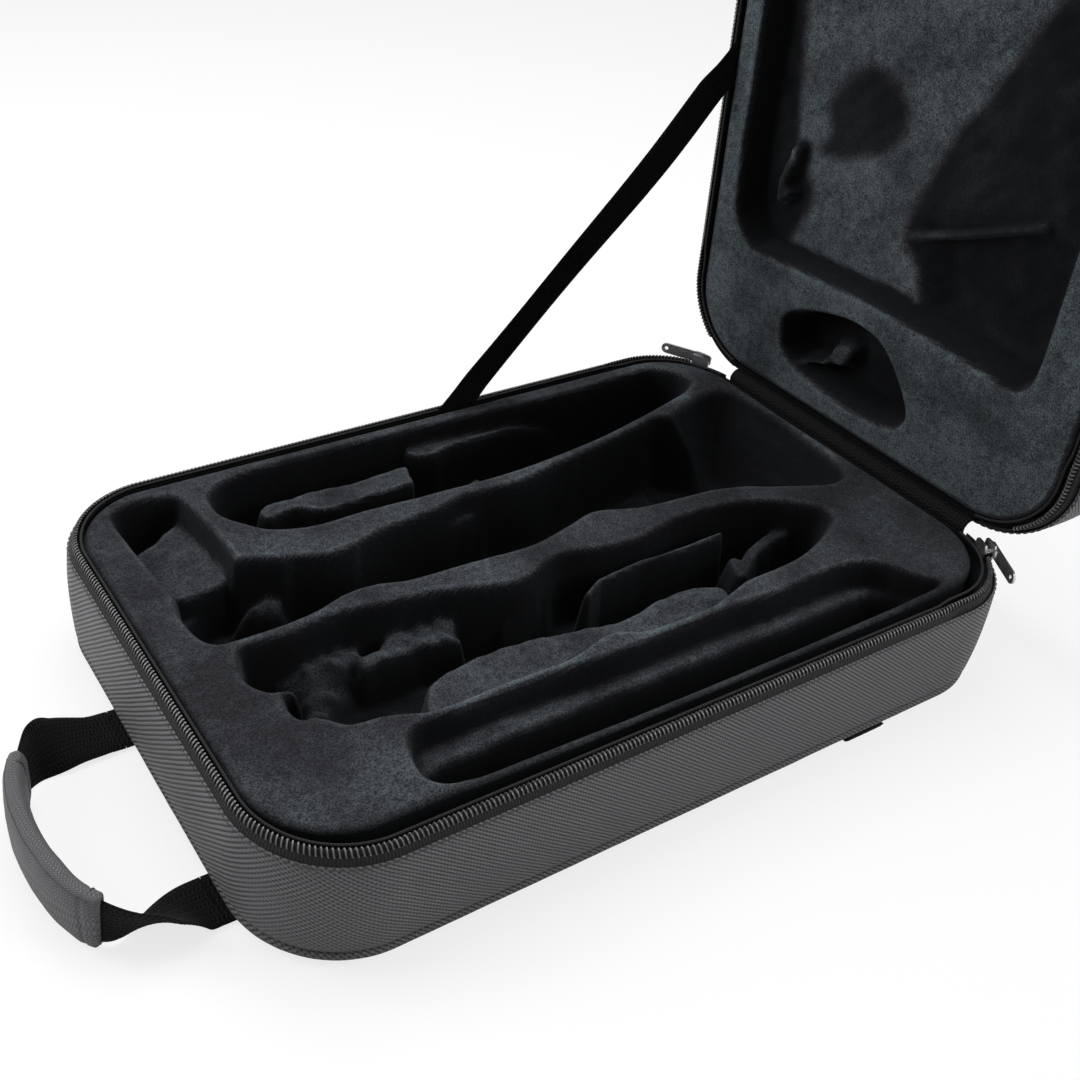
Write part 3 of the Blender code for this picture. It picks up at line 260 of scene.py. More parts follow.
# Nap, painted lighter or darker in patches, as painted light in the base's nests: outline, how far
# it stands up, width of the outline's edge
BASE_NAP_LIGHTS = ((BELL_NAP_LIGHT, 1.00, 0.008), (CORNER_NAP_LIGHT, 0.95, 0.003), (TRAY_LEDGE, 0.70, 0.004))
LID_NAP_PATCHES = (
    (LID_LIGHT, 0.92, 0.008), (LID_DARK_SIDE, 0.06, 0.010), (LID_DARK_TOP, 0.10, 0.010),
    (LID_DARK_RIGHT, 0.10, 0.009),
)

LINER_FORMS = {
    "base": (BASE_NESTS, BASE_SHELVES, BASE_BANKS, BASE_NAP_LIGHTS, BASE_LIGHT_STREAKS),
    "lid": (LID_NESTS, LID_SHELVES, LID_BANKS, LID_NAP_PATCHES, ()),
}

# Handle path: shares of the reach, the span, the rise and a quarter twist
HANDLE_PATH = (
    (0.00, 0.50, 0.00, 0.00), (0.17, 0.50, 0.06, 0.02), (0.43, 0.48, 0.40, 0.25),
    (0.67, 0.42, 0.80, 0.75), (0.85, 0.30, 1.00, 1.00), (0.96, 0.16, 1.00, 1.00),
    (1.00, -0.02, 1.00, 1.00), (0.98, -0.20, 1.00, 1.00), (0.91, -0.37, 1.00, 1.00),
    (0.79, -0.49, 1.00, 1.00), (0.60, -0.55, 0.86, 0.75), (0.38, -0.54, 0.50, 0.35),
    (0.17, -0.51, 0.10, 0.04), (0.00, -0.50, 0.00, 0.00),
)

# Nap of each half, with its painted light and shade: where it lies down (painted shade in the
# nests), added where it is loose on flat floors, and standing near the top (painted light on the
# top face)
NAP_AND_LIGHT_LEVELS = {"base": (0.055, 0.20, 0.62), "lid": (0.02, 0.10, 0.96)}

# Levels over which a face counts as flat, lets its pile stand, and stops being a wall in painted
# shade; depths over which the lit border gives way to the painted shade of the nests, and over
# which the painted highlight on raised edges fades
FLAT_LEVELS, STANDING_LIGHT_LEVELS, WALL_SHADE_LEVELS = (0.45, 0.90), (0.15, 0.60), (0.20, 0.60)
BORDER_LIGHT_DEPTHS, EDGE_DEPTHS = (0.012, 0.004), (0.026, 0.010)

# Raised edges: how far they stand out of the softened face, and the nap that this adds, partly pile
# that opens over the bend and partly a painted highlight
EDGE_HEIGHT, EDGE_NAP_HIGHLIGHT = 0.0014, 0.38

# Swells of the plush: depths over which they grow to their full height, and their wavelengths
SWELL_DEPTHS, SWELL_WAVES, LUMP_WAVE = (0.008, 0.018), (0.040, 0.013, 0.0036), 0.009

# Distances between the rows of points along the zip line or a path, and from stitch to stitch
WALL_STEP, LINING_STEP, PIPING_STEP, TAPE_STEP, CORE_STEP = 0.0018, 0.0030, 0.0022, 0.0025, 0.004
STAY_STEP, STITCH_PITCH = 0.0006, 0.0036

# Nylon wall: fold of its hem and the fold's roundness, gap above the piping, tuck at its foot
HEM_FOLD, HEM_ROUND, PIPING_GAP, FOOT_TUCK = 0.0006, 0.0005, 0.0003, 0.0012

# Its seam: depth and width of the dent, height and width of the puckers, and the thread's lift
SEAM_DENT, SEAM_WIDTH, PUCKER, PUCKER_WIDTH, THREAD_LIFT = 0.00018, 0.0006, 0.00012, 0.003, 0.00012

# Ribs of the wall's nylon on the front and on the short side: slant, and pitch up the wall; and the
# run along the zip line over which one kind gives way to the other
NYLON_RIBS, RIBS_MEET = ((-0.78, 0.0019), (0.85, 0.0025)), (0.66, 0.74)

# Weaves: size of a square of the nylon and of the sleeve, the sleeve's turn, and the yarns' dip
NYLON_CELL, SLEEVE_CELL, SLEEVE_TURN, YARN_DIP = 0.00145, 0.00105, 0.7, 0.35

# Pitches of the webbing's ribs, zigzags and rows, of the tape's ribs and slanted threads, and of
# the sewing thread's twist
RIB_PITCH, ZIGZAG_PITCH, ROW_PITCH, TAPE_RIB_PITCH = 0.0017, 0.0036, 0.0021, 0.0013
TAPE_THREADS, THREAD_TWIST = (0.0005, 0.0006), (0.0006, 0.0005)
NYLON_SHINE = {"Sheen_Weight": 0.06, "Sheen_Roughness": 0.5, "Specular_IOR_Level": 0.30}

# Outer panels: inside the zip line, thickness, and the steps of their turned-down edge (outward, in
# from the outer face), with the height and wavelength of the top's unevenness
PANEL_INSET, PANEL_THICKNESS, PANEL_EDGE = 0.0007, 0.0009, ((0.0002, 0.0003), (0.0002, 0.0036))
PANEL_RIPPLE, PANEL_WAVE = 0.0003, 0.11

# Section of the wall lining: standoff, depth, and one where the depth counts from the foot
LINING_SECTION = np.array([
    (0.0024, 0.0, 1), (0.0024, 0.012, 0), (0.0012, 0.0075, 0), (0.0001, 0.0050, 0),
    (-0.0006, 0.0042, 0), (-0.0013, 0.0043, 0), (-0.0017, 0.0052, 0), (-0.0018, 0.0080, 0),
    (-0.0018, 0.020, 0), (-0.0018, -0.004, 1), (-0.0012, 0.0, 1),
])

# The lining's foot, in from the outer face
LINING_FOOT = 0.0072

# Hinge strip in each half, from its foot to the fold: place along the case, and depth
HINGE_LINE = np.array([(0.1928, 0.0092), (0.1926, 0.0070), (0.1918, 0.0035)])

# Half its span and thickness, how far its fold stands out, and height of its unevenness
HINGE_HALF_SPAN, HINGE_HALF_THICKNESS, HINGE_BEND, HINGE_WAVE = 0.0826, 0.0006, 0.0006, 0.00025

# Lid stay: height and half waves of its sway, bow and twist, the run over which they ease in, and
# its ribs' share of the handle's
STAY_SWAY, STAY_BOW, STAY_TWIST = (0.0016, 2.3), (0.0010, 3.1), (0.10, 1.7)
STAY_EASE, STAY_RIBS = 0.02, 0.8

# Its sewn patches: length, thickness and height of the ribs
PATCH_LENGTH, PATCH_THICKNESS, PATCH_RIB = 0.020, 0.0013, 0.00008

# Webbing: width of a chevron, its share of a rib, and the power that rounds the edges
CHEVRON, CHEVRON_SHARE, EDGE_POWER = 0.0042, 0.35, 8

# Grip: its run along the handle's path, the power of its squared oval, its hems' place and width,
# and the length of its rounded ends
GRIP_RUN, GRIP_POWER = (0.31, 0.70), 3.4
GRIP_HEM, GRIP_HEM_WIDTH, GRIP_END = 0.0055, 0.0009, 0.0012

# Lights: name, place, size, share of the key light's power
LIGHTS = (
    ("key_light", (0.10, 0.35, 1.20), 0.9, 1.0), ("right_light", (0.95, -0.85, 0.75), 0.8, 0.75),
    ("left_light", (-1.05, 0.70, 0.75), 0.8, 1.0),
)
LIGHT_AIM = (0.02, 0.0, 0.05)

# Camera fitted to the photo: focal length and picture width in pixels, sensor width in millimetres
FOCAL_PIXELS, PHOTO_PIXELS, SENSOR = 1303.6, 1080, 36.0
CAMERA_SHIFT = (0.1157, -0.0278)
CAMERA_PLACE = (-0.3161, -0.37393, 0.40639)
CAMERA_TURN = (0.96348, -0.06042, -0.53938)
FLOOR_REACH, FLOOR_LEVEL = 4.0, -0.0001


def length_property(name, description, default):
    """A length in metres for a property group."""
    return bpy.props.FloatProperty(name=name, description=description, default=default,
                                   unit="LENGTH", subtype="DISTANCE", precision=5)


def angle_property(name, description, degrees):
    """An angle for a property group, given in degrees."""
    return bpy.props.FloatProperty(name=name, description=description,
                                   default=math.radians(degrees), subtype="ANGLE")


def colour_property(name, description, default):
    """A linear colour for a property group."""
    return bpy.props.FloatVectorProperty(name=name, description=description, default=default,
                                         subtype="COLOR", size=3, min=0.0, max=1.0)


def share_property(name, description, default):
    """A share from nothing to all for a property group."""
    return bpy.props.FloatProperty(name=name, description=description, default=default,
                                   subtype="FACTOR", min=0.0, max=1.0)


class CaseShellSizes(bpy.types.PropertyGroup):
    """Sizes of the shell that the two halves share."""

    rim_length: length_property("Rim length", "Length along the zip line", 0.380)
    rim_width: length_property("Rim width", "Width along the zip line", 0.244)
    corner_radius: length_property("Corner radius", "Radius of the zip line's corners", 0.0434)
    base_depth: length_property("Base depth", "Depth of the base", 0.060)
    lid_depth: length_property("Lid depth", "Depth of the lid", 0.052)
    hinge_setback: length_property("Hinge setback", "Fold line outside the zip line", 0.002)
    open_angle: angle_property("Lid angle", "How far the lid stands open", 86.0)
    wall_standoff: length_property("Wall standoff", "Nylon wall outside the zip line", 0.004)
    wall_top: length_property("Wall top", "Depth of the nylon's hem", 0.0062)
    hem: length_property("Hem", "Stitches below the nylon's hem", 0.0010)
    wall_thickness: length_property("Wall thickness", "Thickness of the nylon", 0.0009)
    wall_bulge: length_property("Wall bulge", "How far the padding pushes the wall out", 0.0013)
    wall_ripple: length_property("Wall ripple", "Height of the wall's slow unevenness", 0.0004)
    piping_radius: length_property("Piping radius", "Radius of the piping", 0.0022)
    piping_depth: length_property("Piping lift", "Piping centre above the outer face", 0.0046)
    crown: length_property("Top crown", "How far the lid's top bulges in the middle", 0.0016)


class CasePlushSizes(bpy.types.PropertyGroup):
    """Sizes of the plush liners."""

    spacing: length_property("Spacing", "Distance between the surface's points", 0.00095)
    # Steep walls keep only this share of their nap, which paints them darker as painted shade.
    wall_nap_shade: share_property("Wall nap", "Share of the nap that stands up on a steep wall", 0.25)
    half_length: length_property("Half length", "Half the liners' length", 0.1865)
    base_half_width: length_property("Base half width", "Half the base liner's width", 0.1149)
    lid_half_width: length_property("Lid half width", "Half the lid liner's width", 0.1178)
    base_centre_y: length_property("Base centre", "Base liner's middle across the case", 0.0029)
    corner_radius: length_property("Corner radius", "Radius of the liners' corners", 0.039)
    top_drop: length_property("Top drop", "Liner face below the meeting plane", 0.002)
    edge_round: length_property("Edge round", "Radius of the liners' upper edge", 0.0031)
    base_floor: length_property("Base floor", "Depth of the base liner's underside", 0.0558)
    lid_floor: length_property("Lid floor", "Depth of the lid liner's back", 0.0477)
    swell: length_property("Swell", "Height of the plush's slow unevenness", 0.0006)


class CaseZipSizes(bpy.types.PropertyGroup):
    """Sizes of the zip."""

    pitch: length_property("Tooth pitch", "Distance from tooth to tooth", 0.0020)
    wire_radius: length_property("Wire radius", "Radius of the coil's wire", 0.00040)
    coil_half_width: length_property("Coil half width", "Half the coil's width", 0.0017)
    coil_half_height: length_property("Coil half height", "Half the coil's thickness", 0.0008)
    coil_standoff: length_property("Coil standoff", "Coil centre outside the zip line", 0.0006)
    coil_depth: length_property("Coil depth", "Coil centre below the meeting plane", 0.0025)
    slim_half_width: length_property("Slim half width", "Half width where a slider runs", 0.00135)
    slim_depth: length_property("Slim depth", "Coil centre's depth where a slider runs", 0.0021)
    slider_end: angle_property("Slider end", "End of a slider's travel round the corner", 97.0)
    slider_ease: length_property("Slider ease", "Run in which the coil regains its width", 0.014)
    coil_slant: angle_property("Coil slant", "How far the coil leans out", 36.0)
    coil_start: angle_property("Coil start", "Angle in the hinge corner", 38.0)
    tape_start: angle_property("Tape start", "Angle in the hinge corner", 9.0)
    tape_thickness: length_property("Tape thickness", "Thickness of the tape", 0.0008)
    cord_radius: length_property("Cord radius", "Radius of the tape's inner cord", 0.0006)
    cord_inset: length_property("Cord inset", "Inner cord inside the zip line", 0.0023)
    cord_retreat: length_property("Cord retreat", "How far it makes way for a slider", 0.0013)
    cord_depth: length_property("Cord depth", "Cord's centre below the meeting plane", 0.0016)


class CaseWebbingSizes(bpy.types.PropertyGroup):
    """Sizes of the stay, the handle and the sewn tabs."""

    width: length_property("Webbing width", "Width of the handle's webbing", 0.025)
    thickness: length_property("Webbing thickness", "Thickness of the handle's webbing", 0.0018)
    rib_pitch: length_property("Rib pitch", "Distance between the webbing's ribs", 0.0017)
    rib_height: length_property("Rib height", "Height of the webbing's ribs", 0.00012)
    handle_x: length_property("Handle ends", "Place of the handle's ends along the case", -0.1967)
    handle_z: length_property("Handle height", "Top of the handle's ends above the floor", 0.0021)
    handle_y: length_property("Handle centre", "Middle of the handle across the case", -0.022)
    handle_span: length_property("Handle span", "Distance between the handle's ends", 0.102)
    handle_reach: length_property("Handle reach", "How far the handle lies out", 0.0543)
    handle_rise: length_property("Handle rise", "Height of the grip's middle", 0.0135)
    grip_height: length_property("Grip height", "Height of the padded grip", 0.0274)
    grip_thickness: length_property("Grip thickness", "Thickness of the padded grip", 0.0095)
    stub_start: share_property("Stub start", "Share of the stub that is turned in", 0.12)
    stay_width: length_property("Stay width", "Width of the lid stay", 0.018)
    stay_thickness: length_property("Stay thickness", "Thickness of the lid stay", 0.0014)
    stay_reach: length_property("Stay reach", "Distance of the stay's ends from the hinge", 0.161)
    stay_tail: length_property("Stay tail", "Length of the stay inside each half", 0.034)
    stay_inset: length_property("Stay inset", "Stay inside the zip line", 0.0029)


class CaseColours(bpy.types.PropertyGroup):
    """Colours of the finishes."""

    nylon: colour_property("Nylon", "Ballistic nylon of the shell", (0.135, 0.134, 0.142))
    # The nylon's gap colour is painted shade in the weave's hollows.
    nylon_gap_shade: colour_property("Nylon gaps", "Between its yarns", (0.0020, 0.0020, 0.0026))
    nylon_patch: colour_property("Nylon patches", "Duller nylon", (0.085, 0.084, 0.095))
    # The sleeve's gap colour is painted shade in the weave's hollows.
    sleeve_gap_shade: colour_property("Sleeve gaps", "Between its yarns", (0.018, 0.018, 0.021))
    sleeve_patch: colour_property("Sleeve patches", "Rubbed sleeve", (0.110, 0.110, 0.120))
    # Plush: the first colour is also painted shade on walls, floors and the lower edge; the next
    # two are painted light, and the fourth is a painted highlight where the nap stands up fully.
    plush: colour_property("Plush", "Plush where the nap lies down", (0.0033, 0.0036, 0.0040))
    plush_loose_lit: colour_property("Plush tufts", "Loose nap", (0.0640, 0.0640, 0.0752))
    plush_nap_lit: colour_property("Plush nap", "Where the nap stands up", (0.0688, 0.0784, 0.0864))
    plush_lit: colour_property("Plush tips", "Nap that stands up fully", (0.0870, 0.1055, 0.1150))
    webbing: colour_property("Webbing", "Black webbing", (0.0080, 0.0080, 0.0078))
    # The webbing's gap colour is painted shade between the ribs.
    webbing_gap_shade: colour_property("Webbing gaps", "Between the ribs", (0.0008, 0.0008, 0.0008))
    webbing_patch: colour_property("Webbing patches", "Darker webbing", (0.0030, 0.0030, 0.0029))
    tape: colour_property("Zip tape", "Black zip tape", (0.0150, 0.0150, 0.0165))
    # The tape's gap colour is painted shade between the ribs.
    tape_gap_shade: colour_property("Zip tape gaps", "Between the tape's ribs", (0.004, 0.004, 0.005))
    tape_fuzz: colour_property("Zip tape fuzz", "Fuzz on the tape", (0.016, 0.016, 0.018))
    coil: colour_property("Zip coil", "Dark coil", (0.042, 0.042, 0.045))
    coil_worn: colour_property("Worn coil", "Worn teeth", (0.105, 0.105, 0.110))
    thread: colour_property("Thread", "Sewing thread", (0.006, 0.006, 0.007))
    # Thread bands: painted highlights on the twist.
    thread_lit: colour_property("Thread bands", "Light bands of the thread", (0.020, 0.020, 0.022))
    metal: colour_property("Fittings", "Plated sliders and pulls", (0.60, 0.60, 0.61))
    metal_handled: colour_property("Handled fittings", "Duller plating", (0.36, 0.36, 0.37))
    board: colour_property("Board", "Stiffening board", (0.036, 0.031, 0.027))
    board_fibre: colour_property("Board fibres", "Paler fibres", (0.17, 0.14, 0.10))


class CaseStageLook(bpy.types.PropertyGroup):
    """Floor and light."""

    floor: colour_property("Floor", "Pale floor", (0.86, 0.86, 0.86))
    floor_glow: share_property("Floor glow", "Share of plain white in what the camera sees", 0.77)
    world_light: share_property("Room light", "Strength of the light from all round", 0.22)
    key_power: bpy.props.FloatProperty(
        name="Key light", description="Power of the large soft light", default=12.5, unit="POWER")


# Zip tape from the seam to the coil: standoff and depth of its middle, and its outward normal, on
# the open run and where a slider runs
TAPE_LINE = np.array([
    (0.0033, 0.0098), (0.0032, 0.0085), (0.0030, 0.0068), (0.0025, 0.0052), (0.0018, 0.0042),
    (0.0012, 0.0035),
])
TAPE_LINE_SLIM = np.array([
    (0.0027, 0.0096), (0.0026, 0.0085), (0.0021, 0.0068), (0.0016, 0.0052), (0.0013, 0.0040),
    (0.0011, 0.0032),
])
TAPE_NORMAL, TAPE_NORMAL_SLIM = np.array([0.92, -0.38]), np.array([0.95, 0.30])


class Rim:
    """The zip line: a rounded rectangle, walked anticlockwise from the middle of the hinge side."""

    def __init__(self, sizes):
        radius = sizes.corner_radius
        half_x, half_y = sizes.rim_length / 2 - radius, sizes.rim_width / 2 - radius
        arc = radius * math.pi / 2
        steps = [half_y, arc, 2 * half_x, arc, 2 * half_y, arc, 2 * half_x, arc, half_y]
        self.marks = np.concatenate([[0.0], np.cumsum(steps)])
        self.core_x = half_x * np.array([1, 1, 1, -1, -1, -1, -1, 1, 1, 1])
        self.core_y = half_y * np.array([0, 1, 1, 1, 1, -1, -1, -1, -1, 0])
        self.turns = np.array([0, 0, 1, 1, 2, 2, 3, 3, 4, 4]) * math.pi / 2
        self.radius = radius
        self.length = self.marks[-1]
        self.corner_start = half_y
        self.depth = sizes.base_depth
        self.fold_x = sizes.rim_length / 2 + sizes.hinge_setback
        self.angle = sizes.open_angle

    def at(self, along, standoff):
        """Core point plus the radius and the standoff times the outward direction."""
        along = np.mod(along, self.length)
        turn = np.interp(along, self.marks, self.turns)
        x = np.interp(along, self.marks, self.core_x) + (self.radius + standoff) * np.cos(turn)
        y = np.interp(along, self.marks, self.core_y) + (self.radius + standoff) * np.sin(turn)
        return x, y

    def place(self, half, x, y, depth):
        """Points from plan position and depth; the lid's are turned about the fold line."""
        x, y, depth = np.broadcast_arrays(x, y, depth)
        if half == "base":
            return np.stack([x, y, self.depth - depth], axis=-1)
        reach = x - self.fold_x
        cos, sin = math.cos(self.angle), math.sin(self.angle)
        return np.stack([self.fold_x + reach * cos + depth * sin, y,
                         self.depth - reach * sin + depth * cos], axis=-1)

    def run(self, half, along, standoff, depth):
        """Points beside the zip line."""
        x, y = self.at(along, standoff)
        return self.place(half, x, y, depth)

    def stations(self, spacing, start=0.0):
        """Even distances along the whole line, or along the run between two starts at the hinge."""
        count = max(8, round((self.length - 2 * start) / spacing))
        return np.linspace(start, self.length - start, count + 1)


class Shape:
    """Points, the corners of faces of any size, and a place on the cloth for each corner."""

    def __init__(self, points, corners, sizes, uv):
        self.points, self.corners, self.sizes, self.uv = points, corners, sizes, uv

    def facing_out(self):
        """Turn every face over if the volume inside comes out negative, summing each face's fan."""
        starts = np.cumsum(self.sizes) - self.sizes
        first = np.repeat(starts, self.sizes)
        rank = np.arange(len(self.corners)) - first
        middle = np.flatnonzero((rank > 0) & (rank < np.repeat(self.sizes, self.sizes) - 1))
        a, b, c = (self.points[self.corners[i]] for i in (first[middle], middle, middle + 1))
        if np.einsum("ij,ij->", a, np.cross(b, c)) < 0:
            turned = first + np.repeat(self.sizes, self.sizes) - 1 - rank
            self.corners, self.uv = self.corners[turned], self.uv[turned]
        return self


def joined(shapes):
    """Several shapes as one, with the corners counted on."""
    shifts = np.cumsum([0] + [len(shape.points) for shape in shapes[:-1]])
    return Shape(np.concatenate([shape.points for shape in shapes]),
                 np.concatenate([shape.corners + shift for shape, shift in zip(shapes, shifts)]),
                 np.concatenate([shape.sizes for shape in shapes]),
                 np.concatenate([shape.uv for shape in shapes]))


def grid(points, u, v, wrap_rows=False):
    """Quads between neighbours of a grid of points. Its columns wrap round. Its rows wrap too, or a
    face closes each of its two ends.

    u and v are the places on the cloth, with one value more than points where the grid wraps.
    """
    rows, columns = points.shape[:2]
    r, c = np.meshgrid(np.arange(rows - (not wrap_rows)), np.arange(columns), indexing="ij")
    r, c = r.ravel(), c.ravel()
    high = np.stack([r, r, r + 1, r + 1], axis=1)
    wide = np.stack([c, c + 1, c + 1, c], axis=1)
    full = (rows + wrap_rows, columns + 1)
    u, v = np.broadcast_to(u, full), np.broadcast_to(v, full)
    corners = [((high % rows) * columns + wide % columns).ravel()]
    sizes = [np.full(len(r), 4)]
    uv = [np.stack([u[high, wide], v[high, wide]], axis=-1).reshape(-1, 2)]
    if not wrap_rows:
        ring = np.arange(columns)
        for row, order in ((0, ring[::-1]), (rows - 1, ring)):
            corners.append(row * columns + order)
            sizes.append(np.array([columns]))
            uv.append(np.stack([u[row, order], v[row, order]], axis=-1))
    return Shape(points.reshape(-1, 3), np.concatenate(corners), np.concatenate(sizes),
                 np.concatenate(uv)).facing_out()


def unit(vectors):
    """Rows of vectors, each with a length of one."""
    return vectors / np.linalg.norm(vectors, axis=-1, keepdims=True)


def ripple(points, wavelength, seed, waves=9):
    """Unevenness from about -1 to 1: the mean of sine waves in seeded directions."""
    draw = np.random.default_rng(seed)
    ways = unit(draw.normal(size=(waves, 3)))
    ways *= TAU / wavelength * draw.uniform(0.7, 1.4, size=(waves, 1))
    shifts = draw.uniform(0.0, TAU, size=waves)
    return np.sin(points @ ways.T + shifts).sum(axis=-1) * 1.4 / waves


def ramp(value, start, end):
    """Zero before the start, one past the end, and 6t^5 - 15t^4 + 10t^3 between."""
    t = np.clip((value - start) / (end - start), 0.0, 1.0)
    return t * t * t * (t * (6 * t - 15) + 10)


def hermite(rows, slopes, places):
    """Cubic curve through rows at whole places, with the slope given at each."""
    index = np.minimum(places.astype(int), len(rows) - 2)
    t = (places - index)[:, None]
    a, b, m, n = rows[index], rows[index + 1], slopes[index], slopes[index + 1]
    return ((2 * t**3 - 3 * t**2 + 1) * a + (t**3 - 2 * t**2 + t) * m
            + (3 * t**2 - 2 * t**3) * b + (t**3 - t**2) * n)


def smooth_outline(points, per_side=9):
    """Closed curve through the points; each slope is as long as the shorter neighbouring side."""
    points = np.asarray(points, dtype=float)
    ahead, behind = np.roll(points, -1, axis=0), np.roll(points, 1, axis=0)
    to_next = np.linalg.norm(ahead - points, axis=1)
    to_last = np.linalg.norm(points - behind, axis=1)
    slopes = (ahead - behind) * (np.minimum(to_next, to_last) / (to_next + to_last))[:, None]
    closed, slopes = np.vstack([points, points[:1]]), np.vstack([slopes, slopes[:1]])
    places = np.linspace(0.0, len(points), len(points) * per_side, endpoint=False)
    return hermite(closed, slopes, places)


def line_distance(x, y, line):
    """Distance to the nearest side of an open line."""
    nearest = np.full(x.shape, np.inf)
    for (ax, ay), (bx, by) in zip(line[:-1], line[1:]):
        dx, dy = bx - ax, by - ay
        t = np.clip(((x - ax) * dx + (y - ay) * dy) / (dx * dx + dy * dy), 0.0, 1.0)
        nearest = np.minimum(nearest, (x - ax - t * dx) ** 2 + (y - ay - t * dy) ** 2)
    return np.sqrt(nearest)


def inside_distance(x, y, outline):
    """Signed distance to a closed outline, above zero inside: its line's distance, with the sign
    from the number of sides that a line to the left crosses."""
    closed = np.vstack([outline, outline[:1]])
    inside = np.zeros(x.shape, dtype=bool)
    for (ax, ay), (bx, by) in zip(closed[:-1], closed[1:]):
        if by != ay:
            inside ^= ((ay > y) != (by > y)) & (x < ax + (y - ay) * (bx - ax) / (by - ay))
    return np.where(inside, 1.0, -1.0) * line_distance(x, y, closed)


def softened(field, rounds):
    """The field averaged with its neighbours, a quarter, a half and a quarter each way."""
    for _ in range(rounds):
        padded = np.pad(field, 1, mode="edge")
        field = (padded[:-2, 1:-1] + 2 * padded[1:-1, 1:-1] + padded[2:, 1:-1]) / 4
        padded = np.pad(field, 1, mode="edge")
        field = (padded[1:-1, :-2] + 2 * padded[1:-1, 1:-1] + padded[1:-1, 2:]) / 4
    return field


def rounded(value, radius):
    """Zero below minus the radius, the value above the radius, and (v + r)^2 / 4r between."""
    between = (value + radius) ** 2 / (4 * radius)
    return np.where(value < -radius, 0.0, np.where(value > radius, value, between))


def make_piece(name, shapes, look, body=None, stands_for=(), sharp=60.0, nap_and_painted_light=None):
    """A mesh object at the origin with its finish, on its body, in place of its CAD nodes.

    nap holds one value for each face corner: how far the pile stands up there, and with it the
    plush's painted light and shade.
    """
    shape = joined(shapes) if isinstance(shapes, list) else shapes
    mesh = bpy.data.meshes.new(name)
    mesh.vertices.add(len(shape.points))
    mesh.vertices.foreach_set("co", shape.points.astype(np.float32).ravel())
    mesh.loops.add(len(shape.corners))
    mesh.loops.foreach_set("vertex_index", shape.corners.astype(np.int32))
    mesh.polygons.add(len(shape.sizes))
    starts = np.cumsum(shape.sizes) - shape.sizes
    mesh.polygons.foreach_set("loop_start", starts.astype(np.int32))
    mesh.update(calc_edges=True)
    cloth = mesh.uv_layers.new(name="UVMap")
    cloth.uv.foreach_set("vector", shape.uv.astype(np.float32).ravel())
    # The nap values also carry the plush's painted light and shade.
    if nap_and_painted_light is not None:
        nap_light_layer = mesh.attributes.new(name="nap_and_painted_light", type="FLOAT", domain="CORNER")
        nap_light_layer.data.foreach_set("value", nap_and_painted_light.astype(np.float32))
    mesh.shade_smooth()
    mesh.set_sharp_from_angle(angle=math.radians(sharp))
    mesh.materials.append(finish_of(look))
    piece = bpy.data.objects.new(name, mesh)
    bpy.context.scene.collection.objects.link(piece)
    if body:
        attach(piece, body)
    if stands_for:
        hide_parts(*stands_for)
    return piece


def carried(centres, across, through, wide, thick):
    """A profile carried along a path: centre plus across times wide plus through times thick."""
    return (centres[:, None] + across[:, None] * wide[..., None]
            + through[:, None] * thick[..., None])


def distances(points):
    """Distance walked along a row of points."""
    steps = np.linalg.norm(np.diff(points, axis=0), axis=1)
    return np.concatenate([[0.0], np.cumsum(steps)])


def stitches(places, ways, lifts, length=0.0026, radius=0.00032):
    """Threads lying along a seam: short six-sided spindles, thinner at their two ends."""
    ways = unit(ways)
    sides = unit(np.cross(lifts, ways))
    lifts = np.cross(ways, sides)
    rings, spokes = 4, 6
    x = np.array([-0.5, -0.36, 0.36, 0.5]) * length
    r = np.array([0.4, 1.0, 1.0, 0.4]) * radius
    a = np.arange(spokes) * TAU / spokes
    local = np.stack([np.repeat(x, spokes), np.outer(r, np.cos(a)).ravel(),
                      np.outer(r, np.sin(a)).ravel()], axis=1)
    one = grid(local.reshape(rings, spokes, 3), np.arange(spokes + 1) * radius, x[:, None])
    axes = np.stack([ways, sides, lifts], axis=1)
    points = places[:, None] + np.einsum("ki,nij->nkj", local, axes)
    count = len(places)
    corners = (one.corners[None] + (np.arange(count) * len(local))[:, None]).ravel()
    return Shape(points.reshape(-1, 3), corners, np.tile(one.sizes, count),
                 np.tile(one.uv, (count, 1)))


